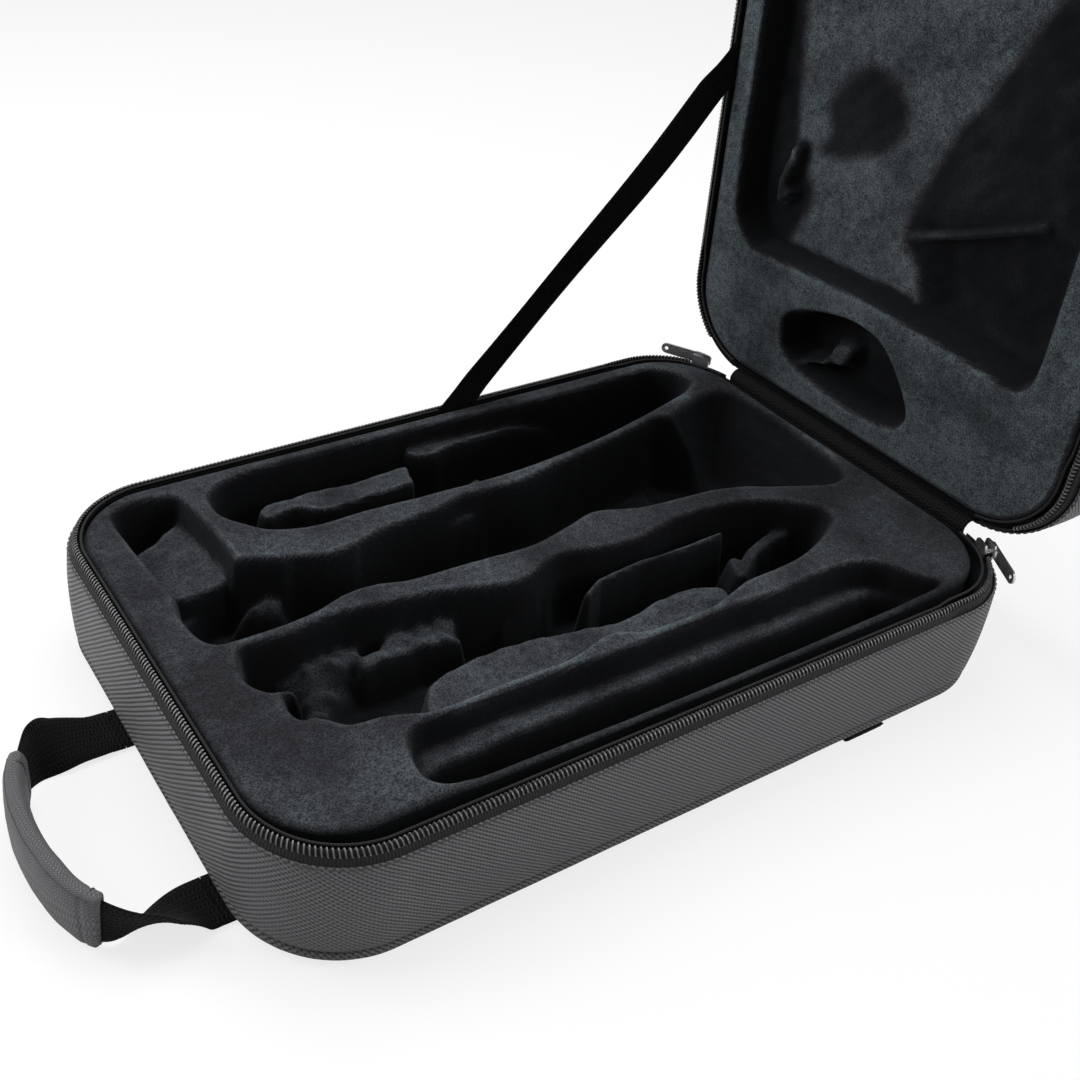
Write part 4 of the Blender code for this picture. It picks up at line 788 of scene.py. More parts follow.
class Finish:
    """A material under construction: adds nodes, links sockets and sets plain values."""

    def __init__(self, name):
        self.material = bpy.data.materials.new(name)
        self.material.use_nodes = True
        self.tree = self.material.node_tree
        self.shader = self.tree.nodes["Principled BSDF"]
        where = self.add("ShaderNodeTexCoord")
        self.solid, self.cloth = where.outputs["Object"], where.outputs["UV"]

    def add(self, kind, values=(), **settings):
        """A node with its settings, and its inputs linked or set."""
        node = self.tree.nodes.new(kind)
        for key, value in settings.items():
            setattr(node, key, value)
        for key, value in dict(values).items():
            self.put(node.inputs[key], value)
        return node

    def put(self, socket, value):
        """Link a socket to another, or set its plain value."""
        if isinstance(value, bpy.types.NodeSocket):
            self.tree.links.new(value, socket)
        elif value is not None:
            socket.default_value = value

    def math(self, operation, *values):
        """One step of arithmetic."""
        node = self.add("ShaderNodeMath", dict(enumerate(values)), operation=operation)
        return node.outputs[0]

    def plus(self, a, b):
        """The sum."""
        return self.math("ADD", a, b)

    def times(self, a, b):
        """The product."""
        return self.math("MULTIPLY", a, b)

    def shared(self, share, a, b):
        """The first value where the share is one, the second where it is none."""
        return self.plus(self.times(a, share), self.times(b, self.math("SUBTRACT", 1.0, share)))

    def wave(self, phase):
        """The sine of a phase, between none and one."""
        return self.math("MULTIPLY_ADD", self.math("SINE", phase), 0.5, 0.5)

    def slant(self, a, a_pitch, b, b_pitch):
        """Phase of slanted bands: one turn for each pitch along both ways."""
        return self.plus(self.times(a, TAU / a_pitch), self.times(b, TAU / b_pitch))

    def noise(self, scale, detail=3.0, roughness=0.5, where=None):
        """Noise between none and one, with its scale in waves to the metre."""
        node = self.add("ShaderNodeTexNoise", {"Vector": where or self.solid, "Scale": scale,
                                               "Detail": detail, "Roughness": roughness})
        return node.outputs["Fac"]

    def spread(self, value, low, high, start=0.0, end=1.0):
        """A value between low and high carried over to between start and end."""
        node = self.add("ShaderNodeMapRange", {"Value": value, "From Min": low, "From Max": high,
                                               "To Min": start, "To Max": end})
        return node.outputs["Result"]

    def mix(self, share, a, b):
        """The second colour over the first by a share."""
        node = self.add("ShaderNodeMix", {0: share}, data_type="RGBA")
        for index, value in ((6, a), (7, b)):
            linked = isinstance(value, bpy.types.NodeSocket)
            self.put(node.inputs[index], value if linked else (*value, 1.0))
        return node.outputs[2]

    def axes(self, vector, scale=(1.0, 1.0, 1.0), turn=0.0):
        """A vector scaled and turned, and its first two parts."""
        mapped = self.add("ShaderNodeMapping", {"Vector": vector, "Scale": scale,
                                                "Rotation": (0.0, 0.0, turn)})
        parts = self.add("ShaderNodeSeparateXYZ", {0: mapped.outputs[0]})
        return mapped.outputs[0], parts.outputs[0], parts.outputs[1]

    def bump(self, height, distance, strength, below=None):
        """Normal of a height, over the normal below it."""
        node = self.add("ShaderNodeBump", {"Height": height, "Distance": distance,
                                           "Strength": strength, "Normal": below})
        return node.outputs[0]

    def done(self, colour, roughness, normal=None, **plain):
        """The material, with its shader's inputs put in."""
        for key, value in (("Base Color", colour), ("Roughness", roughness), ("Normal", normal)):
            self.put(self.shader.inputs[key], value)
        for key, value in plain.items():
            self.shader.inputs[key.replace("_", " ")].default_value = value
        return self.material


def woven(finish, cell, turn=0.0):
    """Basket weave height: the yarn across is on top in every other square, else the yarn up.

    Each yarn is the sine of its own place across the square, a little lower towards its ends.
    """
    _, x, y = finish.axes(finish.cloth, (1 / cell, 1 / cell, 1.0), turn)
    square = finish.plus(finish.math("FLOOR", x), finish.math("FLOOR", y))
    odd = finish.math("ABSOLUTE", finish.math("MODULO", square, 2.0))
    arch_x = finish.math("SINE", finish.times(finish.math("FRACT", x), math.pi))
    arch_y = finish.math("SINE", finish.times(finish.math("FRACT", y), math.pi))
    across = finish.times(arch_x, finish.math("MULTIPLY_ADD", arch_y, YARN_DIP, 1 - YARN_DIP))
    up = finish.times(arch_y, finish.math("MULTIPLY_ADD", arch_x, YARN_DIP, 1 - YARN_DIP))
    return finish.shared(odd, across, up), odd


def patched(finish, colour, scale, share, other):
    """A cloth's colour with soft patches of another, and the roughness that changes with them."""
    patch = finish.noise(scale, 4.0, 0.6)
    return (finish.mix(finish.spread(patch, 0.35, 0.70, 0.0, share), colour, other),
            finish.spread(patch, 0.3, 0.7, 0.58, 0.70))


def nylon_finish(colours):
    """Ballistic nylon: a basket weave under ribs that slant, with the yarn and rib tops painted
    light and the gaps painted shade.

    The ribs fall towards the hinge on the front and rise towards it on the short side; the place
    along the cloth tells which.
    """
    finish = Finish("nylon_weave")
    weave, odd = woven(finish, NYLON_CELL)
    ribs = []
    for slant, pitch in NYLON_RIBS:
        _, x, y = finish.axes(finish.cloth, (slant * TAU / pitch, TAU / pitch, 1.0))
        ribs.append(finish.math("SINE", finish.plus(x, y)))
    _, along, _ = finish.axes(finish.cloth)
    front = finish.spread(along, *RIBS_MEET)
    hollow = finish.math("MULTIPLY_ADD", finish.shared(front, *ribs), -0.5, 0.5)
    rib = finish.math("SUBTRACT", 1.0, finish.math("POWER", hollow, 1.6))
    rib = finish.times(rib, finish.spread(front, 0.0, 1.0, 0.95, 0.70))
    weave = finish.times(weave, finish.spread(front, 0.0, 1.0, 0.12, 0.40))
    lift = finish.plus(weave, rib)
    shade = finish.plus(finish.times(lift, finish.spread(odd, 0.0, 1.0, 0.85, 1.0)),
                        finish.times(finish.noise(900.0, 2.0), 0.16))
    # Colour follows the height: yarn and rib tops painted light, gaps painted shade.
    colour = finish.mix(finish.spread(shade, 0.30, 1.05), colours.nylon_gap_shade, colours.nylon)
    colour, rough = patched(finish, colour, 22.0, 0.12, colours.nylon_patch)
    normal = finish.bump(lift, 0.00034, 0.9)
    normal = finish.bump(finish.noise(60.0, 2.0), 0.0005, 0.25, normal)
    return finish.done(colour, rough, normal, **NYLON_SHINE)


def sleeve_finish(colours):
    """The sleeve's nylon: a fine basket weave on the slant, rubbed a little paler in patches, with
    the yarn tops painted light and the gaps painted shade.
    """
    finish = Finish("sleeve_weave")
    lift, odd = woven(finish, SLEEVE_CELL, SLEEVE_TURN)
    shade = finish.plus(finish.times(lift, finish.spread(odd, 0.0, 1.0, 0.75, 1.0)),
                        finish.times(finish.noise(1100.0, 2.0), 0.40))
    # Colour follows the height: yarn tops painted light, gaps painted shade.
    colour = finish.mix(finish.spread(shade, 0.25, 1.25), colours.sleeve_gap_shade, colours.nylon)
    colour, rough = patched(finish, colour, 60.0, 0.22, colours.sleeve_patch)
    return finish.done(colour, rough, finish.bump(lift, 0.00022, 0.8), **NYLON_SHINE)


def plush_finish(colours):
    """Plush: light and speckled where the nap stands up, nearly black where it lies down; the nap
    value carries painted light on tops, shelves and raised edges and painted shade on walls and in
    the nests.
    """
    finish = Finish("plush_nap_lit")
    nap_light_layer = finish.add("ShaderNodeAttribute", attribute_name="nap_and_painted_light", attribute_type="GEOMETRY")
    nap_and_painted_light = nap_light_layer.outputs["Fac"]
    broad = finish.noise(24.0, 3.0, 0.55)
    tuft = finish.noise(260.0, 3.0, 0.6)
    speck = finish.noise(1350.0, 3.0, 0.65)
    share = nap_and_painted_light
    for field, low, high, start, end in ((broad, 0.34, 0.66, 0.34, 0.90),
                                         (tuft, 0.32, 0.68, 0.66, 1.34),
                                         (speck, 0.32, 0.68, 0.05, 1.95)):
        share = finish.times(share, finish.spread(field, low, high, start, end))
    # Painted light where the nap stands, and a painted highlight where it stands up fully.
    lit = finish.mix(finish.spread(broad, 0.38, 0.62), colours.plush_loose_lit, colours.plush_nap_lit)
    lit = finish.mix(finish.spread(nap_and_painted_light, 0.72, 1.0), lit, colours.plush_lit)
    colour = finish.mix(share, colours.plush, lit)
    rough = finish.spread(tuft, 0.3, 0.7, 0.90, 1.0)
    normal = finish.bump(tuft, 0.0010, 0.30, finish.bump(speck, 0.00040, 0.6))
    return finish.done(colour, rough, normal, Sheen_Weight=0.08, Sheen_Roughness=0.45,
                       Sheen_Tint=(0.55, 0.63, 0.68, 1.0), Specular_IOR_Level=0.05)


def webbing_finish(colours):
    """Webbing: two slanted yarn systems that meet in ribs, nearly black, with a little fuzz, the
    rib tops painted lighter and the gaps painted shade.
    """
    finish = Finish("webbing_ribs")
    _, x, y = finish.axes(finish.cloth)
    zigzag = finish.math("PINGPONG", x, ROW_PITCH)
    ribs = finish.wave(finish.slant(y, RIB_PITCH, zigzag, ZIGZAG_PITCH))
    rows = finish.wave(finish.times(x, TAU / ROW_PITCH))
    fuzz = finish.noise(700.0, 3.0, 0.6)
    lift = finish.plus(finish.times(ribs, 0.7), finish.times(rows, 0.3))
    lift = finish.plus(lift, finish.times(fuzz, 0.25))
    # Colour follows the height: rib tops painted light, gaps painted shade.
    colour = finish.mix(finish.spread(lift, 0.3, 1.1), colours.webbing_gap_shade, colours.webbing)
    patch = finish.spread(finish.noise(30.0), 0.4, 0.7, 0.0, 0.35)
    colour = finish.mix(patch, colour, colours.webbing_patch)
    return finish.done(colour, finish.spread(fuzz, 0.3, 0.7, 0.66, 0.84),
                       finish.bump(lift, 0.00035, 0.9), Sheen_Weight=0.02, Sheen_Roughness=0.5,
                       Specular_IOR_Level=0.07)


def tape_finish(colours):
    """Zip tape: ribs across the tape and fine slanted threads, with a soft shine painted lighter on
    each rib and painted shade between them.
    """
    finish = Finish("zip_tape_ribs")
    _, x, y = finish.axes(finish.cloth)
    ribs = finish.wave(finish.times(x, TAU / TAPE_RIB_PITCH))
    fine = finish.wave(finish.slant(x, TAPE_THREADS[0], y, TAPE_THREADS[1]))
    lift = finish.plus(finish.times(ribs, 0.8), finish.times(fine, 0.2))
    fuzz = finish.noise(600.0, 3.0, 0.6)
    # Colour follows the height: rib tops painted light, gaps painted shade.
    colour = finish.mix(lift, colours.tape_gap_shade, colours.tape)
    colour = finish.mix(finish.spread(fuzz, 0.45, 0.75, 0.0, 0.4), colour, colours.tape_fuzz)
    return finish.done(colour, finish.spread(fuzz, 0.3, 0.7, 0.6, 0.8),
                       finish.bump(lift, 0.00022, 0.8), Sheen_Weight=0.03, Sheen_Roughness=0.5,
                       Specular_IOR_Level=0.15)


def coil_finish(colours):
    """Coil wire: nylon monofilament with a worn shine that varies from tooth to tooth."""
    finish = Finish("zip_coil_nylon")
    worn = finish.noise(260.0, 3.0, 0.6)
    colour = finish.mix(finish.spread(worn, 0.35, 0.7), colours.coil, colours.coil_worn)
    return finish.done(colour, finish.spread(worn, 0.3, 0.7, 0.28, 0.45),
                       finish.bump(finish.noise(2400.0), 0.00004, 0.5), Specular_IOR_Level=0.6)


def thread_finish(colours):
    """Sewing thread: twisted, with light bands painted slantwise over it as highlights on the
    twist.
    """
    finish = Finish("sewing_thread")
    _, x, y = finish.axes(finish.cloth)
    lift = finish.wave(finish.slant(x, THREAD_TWIST[0], y, THREAD_TWIST[1]))
    # Colour follows the twist: painted highlights on its ridges.
    colour = finish.mix(lift, colours.thread, colours.thread_lit)
    return finish.done(colour, finish.spread(finish.noise(500.0), 0.3, 0.7, 0.45, 0.65),
                       finish.bump(lift, 0.00008, 0.6))


def metal_finish(colours):
    """Plated zinc: bright, with a drawn grain, small dents and duller handled patches."""
    finish = Finish("plated_fittings")
    stretched, _, _ = finish.axes(finish.solid, (1.0, 1.0, 0.15))
    grain = finish.noise(3200.0, 3.0, 0.6, stretched)
    handled = finish.noise(340.0, 4.0, 0.6)
    colour = finish.mix(finish.spread(handled, 0.4, 0.7), colours.metal, colours.metal_handled)
    rough = finish.plus(finish.spread(handled, 0.3, 0.7, 0.20, 0.34), finish.times(grain, 0.08))
    return finish.done(colour, rough, finish.bump(grain, 0.00003, 0.35), Metallic=1.0)


def board_finish(colours):
    """Stiffening board: pressed fibres in two tones."""
    finish = Finish("pressed_board")
    stretched, _, _ = finish.axes(finish.solid, (1.0, 0.25, 1.0), 0.4)
    fibre = finish.noise(420.0, 5.0, 0.7, stretched)
    colour = finish.mix(finish.spread(fibre, 0.35, 0.7), colours.board, colours.board_fibre)
    return finish.done(colour, finish.spread(fibre, 0.3, 0.7, 0.8, 0.95),
                       finish.bump(fibre, 0.0002, 0.4))


FINISHES = {
    "nylon": nylon_finish, "sleeve": sleeve_finish, "plush": plush_finish,
    "webbing": webbing_finish, "tape": tape_finish, "coil": coil_finish,
    "thread": thread_finish, "metal": metal_finish, "board": board_finish,
}


def finish_of(key):
    """The named finish, made once."""
    made = bpy.data.materials.get("case_" + key)
    if made is None:
        made = FINISHES[key](bpy.context.scene.case_colours)
        made.name = "case_" + key
    return made


def liner_rows(length, half_width, radius, spacing):
    """Plan rows of a rounded rectangle: place along, half width there, and the edge's normal.

    Rows are even on the straight part and even in angle round the corners.
    """
    straight = length - radius
    corner = np.linspace(math.pi / 2, 0.0, max(6, round(radius * math.pi / 2 / spacing * 0.8)))
    middle = np.linspace(-straight, straight, max(4, round(2 * straight / spacing)) + 1)[1:-1]
    turn = np.concatenate([-corner, np.zeros(len(middle)), corner[::-1]])
    ends = np.full(len(corner), straight)
    x = np.concatenate([-ends, middle, ends]) + radius * np.sin(turn)
    width = half_width - radius + radius * np.cos(turn)
    return x, width, np.sin(turn), np.cos(turn)


def slab(place, rows, y, face, rings, back):
    """A closed slab on rounded-rectangle rows: the face's depth on the grid, rings round its edge,
    and a flat back of one strip for each row.

    rows are what liner_rows gives. A ring is its step outward, its depth and the face's level, and
    each takes less of the face's unevenness than the last. back is the last ring's step and depth.
    """
    x, _, normal_x, normal_y = rows
    count, columns = y.shape
    x = np.broadcast_to(x[:, None], y.shape)
    index = np.arange(count * columns).reshape(count, columns)
    loop = np.concatenate([index[0, :-1], index[:-1, -1], index[-1, :0:-1], index[:0:-1, 0]])
    short, long = np.zeros(columns - 1), np.ones(count - 1)
    sign = np.concatenate([short, long, short, -long])
    row = loop // columns
    out_x = normal_x[row]
    out_y = np.where(sign == 0, 0.0, sign * normal_y[row])
    flat_x, flat_y, flat_face = x.ravel()[loop], y.ravel()[loop], face.ravel()[loop]
    level = rings[0][2]
    shares = np.linspace(1.0, 0.0, len(rings) + 1)[1:]
    steps = [(step, down + (flat_face - level) * share)
             for (step, down, _), share in zip(rings, shares)]
    edges = [place(flat_x + out_x * step, flat_y + out_y * step, down)
             for step, down in (*steps, (back[0], np.full(len(loop), back[1])))]
    levels, around = len(edges), len(loop)
    points = np.concatenate([place(x, y, face).reshape(-1, 3), *edges])
    new = count * columns + np.arange(levels * around).reshape(-1, around)
    ids = np.concatenate([loop[None], new])
    down_cloth = np.repeat(np.arange(levels), around) * 0.001
    cloth = np.concatenate([np.stack([x.ravel(), y.ravel()], axis=1),
                            np.stack([np.tile(flat_x, levels) + down_cloth,
                                      np.tile(flat_y, levels)], axis=1)])
    ahead = np.roll(ids, -1, axis=1)
    end, side, other = ids[-1], columns - 1 + np.arange(count), (-np.arange(count)) % around
    quads = [np.stack(corners, axis=-1).reshape(-1, 4) for corners in (
        (index[:-1, :-1], index[:-1, 1:], index[1:, 1:], index[1:, :-1]),
        (ids[:-1], ids[1:], ahead[1:], ahead[:-1]),
        (end[other[1:-2]], end[other[2:-1]], end[side[2:-1]], end[side[1:-2]]))]
    ends = [np.concatenate([end[side[1:2]], end[:columns][::-1], end[other[1:2]]]),
            np.concatenate([end[side[-2:-1]], end[side[-1] + np.arange(columns)],
                            end[other[-2:-1]]])]
    sizes = np.concatenate([np.full(sum(len(q) for q in quads), 4), [len(e) for e in ends]])
    corners = np.concatenate([np.concatenate(quads).ravel(), *ends])
    return Shape(points, corners, sizes, cloth[corners]).facing_out()


class Liner:
    """The face of one liner on its grid of rows: depth below the meeting plane, and nap, which also
    holds the painted light and shade of the plush.
    """

    def __init__(self, context, half):
        plush = context.scene.case_plush
        self.plush, self.half, self.rim = plush, half, Rim(context.scene.case_shell)
        self.base = half == "base"
        self.half_width = plush.base_half_width if self.base else plush.lid_half_width
        self.centre = plush.base_centre_y if self.base else 0.0
        edge = plush.edge_round
        self.rows = liner_rows(plush.half_length - edge, self.half_width - edge,
                               plush.corner_radius - edge, plush.spacing)
        columns = round(2 * self.half_width / plush.spacing)
        self.y = self.centre + self.rows[1][:, None] * np.linspace(-1.0, 1.0, columns)
        self.across = np.broadcast_to(self.rows[0][:, None], self.y.shape)
        self.depth = np.full(self.y.shape, plush.top_drop)
        self.nap_and_painted_light = np.zeros(self.y.shape)

    def line(self, thousandths):
        """A line given in thousandths, in metres on the liner's plan."""
        shares = np.array(thousandths) / 1000
        if self.base:
            return shares * (self.plush.half_length, self.half_width) + (0.0, self.centre)
        return np.column_stack([self.plush.half_length * (1 - 2 * shares[:, 0]),
                                self.half_width * shares[:, 1]])

    def points(self):
        """The face as plan position and depth."""
        return np.stack([self.across, self.y, self.depth], axis=-1)

    def near(self, line, margin):
        """Mask of the grid's points within the line's box and a margin."""
        low, high = line.min(axis=0) - margin, line.max(axis=0) + margin
        return ((self.across > low[0]) & (self.across < high[0])
                & (self.y > low[1]) & (self.y < high[1]))

    def inside(self, line, edge):
        """Mask round an outline, and each point's share: half on the outline, all further in."""
        outline = smooth_outline(self.line(line), 5)
        near = self.near(outline, edge)
        away = inside_distance(self.across[near], self.y[near], outline)
        return near, ramp(away, -edge / 2, edge / 2)

    def beside(self, line, half_width, foot):
        """Mask round a line, and each point's share: all on the line, none past the foot."""
        line = self.line(line)
        near = self.near(line, half_width + foot)
        away = line_distance(self.across[near], self.y[near], line)
        return near, ramp(away, half_width + foot, half_width)

    def sink(self, line, floor, radius, slope, blend):
        """Lower the face into a nest: rounded edge, even slope, rounded foot, flat floor."""
        outline = smooth_outline(self.line(line))
        near = self.near(outline, radius)
        wall = slope * rounded(inside_distance(self.across[near], self.y[near], outline), radius)
        height = floor - self.depth[near]
        self.depth[near] += np.maximum(height - rounded(height - wall, blend), 0.0)

    def raise_to(self, near, share, top, nap_and_painted_light):
        """Lift the face towards a depth, and its nap with it, which paints the lifted face lighter
        as painted light, by a share at each point.
        """
        self.depth[near] -= np.maximum(self.depth[near] - top, 0.0) * share
        self.nap_and_painted_light[near] = np.maximum(self.nap_and_painted_light[near], nap_and_painted_light * share)

    def shelf(self, line, top, edge, lumps, nap_and_painted_light):
        """A shelf inside a nest, uneven by its lumps, with an edge as wide as given."""
        near, share = self.inside(line, edge)
        plan = np.stack([self.across[near], self.y[near], np.zeros(near.sum())], axis=-1)
        self.raise_to(near, share, top + lumps * ripple(plan, LUMP_WAVE, len(line)), nap_and_painted_light)

    def bank(self, line, top, half_width, foot, nap_and_painted_light):
        """A thin bank that stands along a line inside a nest."""
        near, share = self.beside(line, half_width, foot)
        self.raise_to(near, share, top, nap_and_painted_light)

    def comb(self, nap_patches, light_streaks):
        """Nap of the whole face, with its painted light and shade: it stands up on the flat near
        the top, on shelves and over edges, which paints them lighter, lies down on walls and
        floors, which paints them darker as painted shade, and takes the given height inside the
        outlines given.

        level is the share of each point's normal that points out of the face: one on the flat and
        none on a wall.
        """
        place = self.points()
        normal = np.cross(np.gradient(place, axis=0), np.gradient(place, axis=1))
        level = np.abs(unit(normal)[..., 2])
        flat, high = ramp(level, *FLAT_LEVELS), ramp(self.depth, *BORDER_LIGHT_DEPTHS)
        low, loose, standing_top_light = NAP_AND_LIGHT_LEVELS[self.half]
        brushed_and_lit = low + loose * flat * ramp(ripple(place, 0.024, 8) * 0.7 + 0.4, 0.0, 1.0)
        # Standing nap on flat faces near the top is painted light; lying nap deeper in is painted
        # shade in the nests.
        self.nap_and_painted_light = np.maximum(self.nap_and_painted_light * ramp(level, *STANDING_LIGHT_LEVELS), flat * standing_top_light * high)
        self.nap_and_painted_light = np.maximum(self.nap_and_painted_light, brushed_and_lit * (1 - high))
        # Patches painted lighter or darker by their nap.
        for line, nap_and_painted_light, edge in nap_patches:
            near, share = self.inside(line, edge)
            if nap_and_painted_light < 0.5:
                share *= 1 - high[near]
            self.nap_and_painted_light[near] += (nap_and_painted_light * flat[near] - self.nap_and_painted_light[near]) * share
        # Streaks painted lighter: painted highlights.
        for line, half_width, nap_and_painted_light in light_streaks:
            near, share = self.beside(line, half_width, half_width)
            self.nap_and_painted_light[near] = np.maximum(self.nap_and_painted_light[near], nap_and_painted_light * share)
        # Lighter nap over raised edges: partly pile that opens over the bend, partly a painted
        # highlight.
        proud_highlight = np.clip((softened(self.depth, 6) - self.depth) / EDGE_HEIGHT, 0.0, 1.0)
        proud_highlight *= 0.25 + 0.75 * ramp(level, 0.0, 0.5)
        self.nap_and_painted_light += EDGE_NAP_HIGHLIGHT * proud_highlight * ramp(self.depth, *EDGE_DEPTHS)
        self.nap_and_painted_light = np.clip(softened(self.nap_and_painted_light, 1), 0.04, 1.0)


def flatness(shape, way):
    """Share of each face's normal along a direction, from the cross product of its diagonals."""
    first = np.cumsum(shape.sizes) - shape.sizes
    a, b, c, d = (shape.points[shape.corners[first + step]] for step in range(4))
    normal = np.cross(c - a, d - b)
    return np.abs(normal @ way) / np.maximum(np.linalg.norm(normal, axis=1), 1e-12)


def build_liner(context, half):
    """A liner: nests sunk in their order, forms raised in them, swells over all, on a slab. With it
    comes the nap at each face corner, darker on steep walls and down the slab's rounded edge as
    painted shade."""
    liner = Liner(context, half)
    plush, edge = liner.plush, liner.plush.edge_round
    nests, shelves, banks, nap_patches, light_streaks = LINER_FORMS[half]
    for nest in nests:
        liner.sink(*nest)
    for shelf in shelves:
        liner.shelf(*shelf)
    for bank in banks:
        liner.bank(*bank)
    liner.depth = softened(liner.depth, 1)
    place, deep = liner.points(), ramp(liner.depth, *SWELL_DEPTHS)
    slow, quick, fine = (ripple(place, wave, 3 + rank) for rank, wave in enumerate(SWELL_WAVES))
    liner.depth = liner.depth + plush.swell * (0.25 + 0.75 * deep) * (slow + deep * quick)
    liner.depth += plush.swell * 0.15 * fine
    liner.comb(nap_patches, light_streaks)
    back = plush.base_floor if liner.base else plush.lid_floor
    top, side = plush.top_drop, plush.top_drop + edge
    rings = [(edge * math.sin(t), top + edge * (1 - math.cos(t)), top)
             for t in np.linspace(0.0, math.pi / 2, 6)[1:]]
    rings += [(edge, side + (back - side) * share, top) for share in (0.15, 0.4, 0.7, 0.97)]
    shape = slab(partial(liner.rim.place, half), liner.rows, liner.y, liner.depth, rings,
                 (edge - 0.0015, back))
    # The nap on the slab's edge rings falls off towards the back: painted shade down the rounded
    # edge.
    levels = np.interp(np.arange(len(rings) + 1), (0, 2, 5), (0.55, 0.35, 0.12))
    around = (len(shape.points) - liner.nap_and_painted_light.size) // len(levels)
    nap_and_painted_light = np.concatenate([liner.nap_and_painted_light.ravel(), np.repeat(levels, around)])
    # Steep faces keep only the wall share of their nap: painted shade on the walls.
    out = np.subtract(*liner.rim.place(half, 0.0, 0.0, np.array([0.0, 1.0])))
    lying_wall_shade = plush.wall_nap_shade + (1 - plush.wall_nap_shade) * ramp(flatness(shape, out), *WALL_SHADE_LEVELS)
    return shape, nap_and_painted_light[shape.corners] * np.repeat(lying_wall_shade, shape.sizes)


class CASE_OT_liners(bpy.types.Operator):
    """Build the plush liners of the base and the lid"""

    bl_idname = "case.liners"
    bl_label = "Plush liners"

    def execute(self, context):
        for half in HALVES:
            shape, nap_and_painted_light = build_liner(context, half)
            piece = make_piece(half + "_plush_liner", shape, "plush", half, (half + "_insert",),
                               sharp=180.0, nap_and_painted_light=nap_and_painted_light)
        return {"FINISHED"}


def half_depths(sizes):
    """The two halves with their depths."""
    return ("base", sizes.base_depth), ("lid", sizes.lid_depth)


def profile_band(rim, half, along, standoff, depth):
    """A closed profile carried round the zip line; standoff and depth are (profile, along)."""
    points = rim.run(half, along[:-1], standoff, depth)
    walked = distances(np.column_stack([standoff[:, 0], depth[:, 0]]))
    walked = np.append(walked, walked[-1] + 0.001)
    return grid(points, along, walked[:, None], wrap_rows=True)


class CASE_OT_walls(bpy.types.Operator):
    """Build the nylon walls with their hems and stitches"""

    bl_idname = "case.walls"
    bl_label = "Nylon walls"

    def execute(self, context):
        sizes = context.scene.case_shell
        rim = Rim(sizes)
        for half, full in half_depths(sizes):
            foot = full - sizes.piping_depth - sizes.piping_radius - PIPING_GAP
            seam = sizes.wall_top + sizes.hem
            t, depth, out = self.section(sizes, foot, seam)
            piece = self.wall(sizes, rim, half, seam, t, depth, out)
            self.stitch(rim, half, seam, np.interp(seam, depth, out) + THREAD_LIFT)
        return {"FINISHED"}

    def section(self, sizes, foot, seam):
        """Shares down the wall, depths and standoffs: a bulge, a tucked foot, a dented seam."""
        t = np.concatenate([np.linspace(0.0, 0.1, 9)[:-1], np.linspace(0.1, 1.0, 26)])
        top = sizes.wall_top + HEM_FOLD
        depth = top + (foot - top) * t
        out = sizes.wall_standoff + sizes.wall_bulge * np.sin(math.pi * t) ** 0.7
        out -= FOOT_TUCK * ramp(t, 0.92, 1.0)
        out -= SEAM_DENT * np.exp(-((depth - seam) / SEAM_WIDTH) ** 2)
        return t, depth, out

    def wall(self, sizes, rim, half, seam, t, depth, out):
        """The wall's outer face with slow waves and puckers beside the seam, and a smooth back."""
        along, thick = rim.stations(WALL_STEP), sizes.wall_thickness
        standoff = np.concatenate([[out[0] - thick / 2], out, out[::-1] - thick])[:, None]
        deep = np.concatenate([[depth[0] - HEM_ROUND], depth, depth[::-1]])
        free = np.concatenate([[0.0], np.sin(math.pi * t) ** 0.6, np.zeros(len(t))])[:, None]
        deep = np.broadcast_to(deep[:, None], (len(deep), len(along) - 1))
        where = rim.run(half, along[:-1], standoff, deep)
        wave = ripple(where, 0.090, 11) + 0.35 * ripple(where, 0.030, 12)
        pucker = ripple(where, 0.0075, 13) * np.exp(-((deep - seam) / PUCKER_WIDTH) ** 2)
        rise = free * (sizes.wall_ripple * wave + PUCKER * pucker)
        band = profile_band(rim, half, along, standoff + rise, deep)
        return make_piece(half + "_nylon_wall", band, "nylon", half, (half + "_wall_cover",))

    def stitch(self, rim, half, depth, standoff):
        """Stitches round the hem."""
        places = np.arange(0.0, rim.length, STITCH_PITCH)
        at = rim.run(half, places, standoff, depth)
        ways = rim.run(half, places + 0.001, standoff, depth) - at
        lifts = rim.run(half, places, standoff + 0.001, depth) - at
        make_piece(half + "_wall_stitches", stitches(at, ways, lifts), "thread", half)


class CASE_OT_linings(bpy.types.Operator):
    """Build the padded plush linings inside the walls"""

    bl_idname = "case.linings"
    bl_label = "Wall linings"

    def execute(self, context):
        sizes = context.scene.case_shell
        rim = Rim(sizes)
        along = rim.stations(LINING_STEP)
        standoff, depth, from_foot = LINING_SECTION.T[:, :, None]
        for half, full in half_depths(sizes):
            deep = depth + (full - LINING_FOOT) * from_foot
            deep = np.broadcast_to(deep, (len(deep), len(along) - 1))
            band = profile_band(rim, half, along, np.broadcast_to(standoff, deep.shape), deep)
            piece = make_piece(half + "_wall_lining", band, "plush", half, (half + "_wall_foam",))
        return {"FINISHED"}


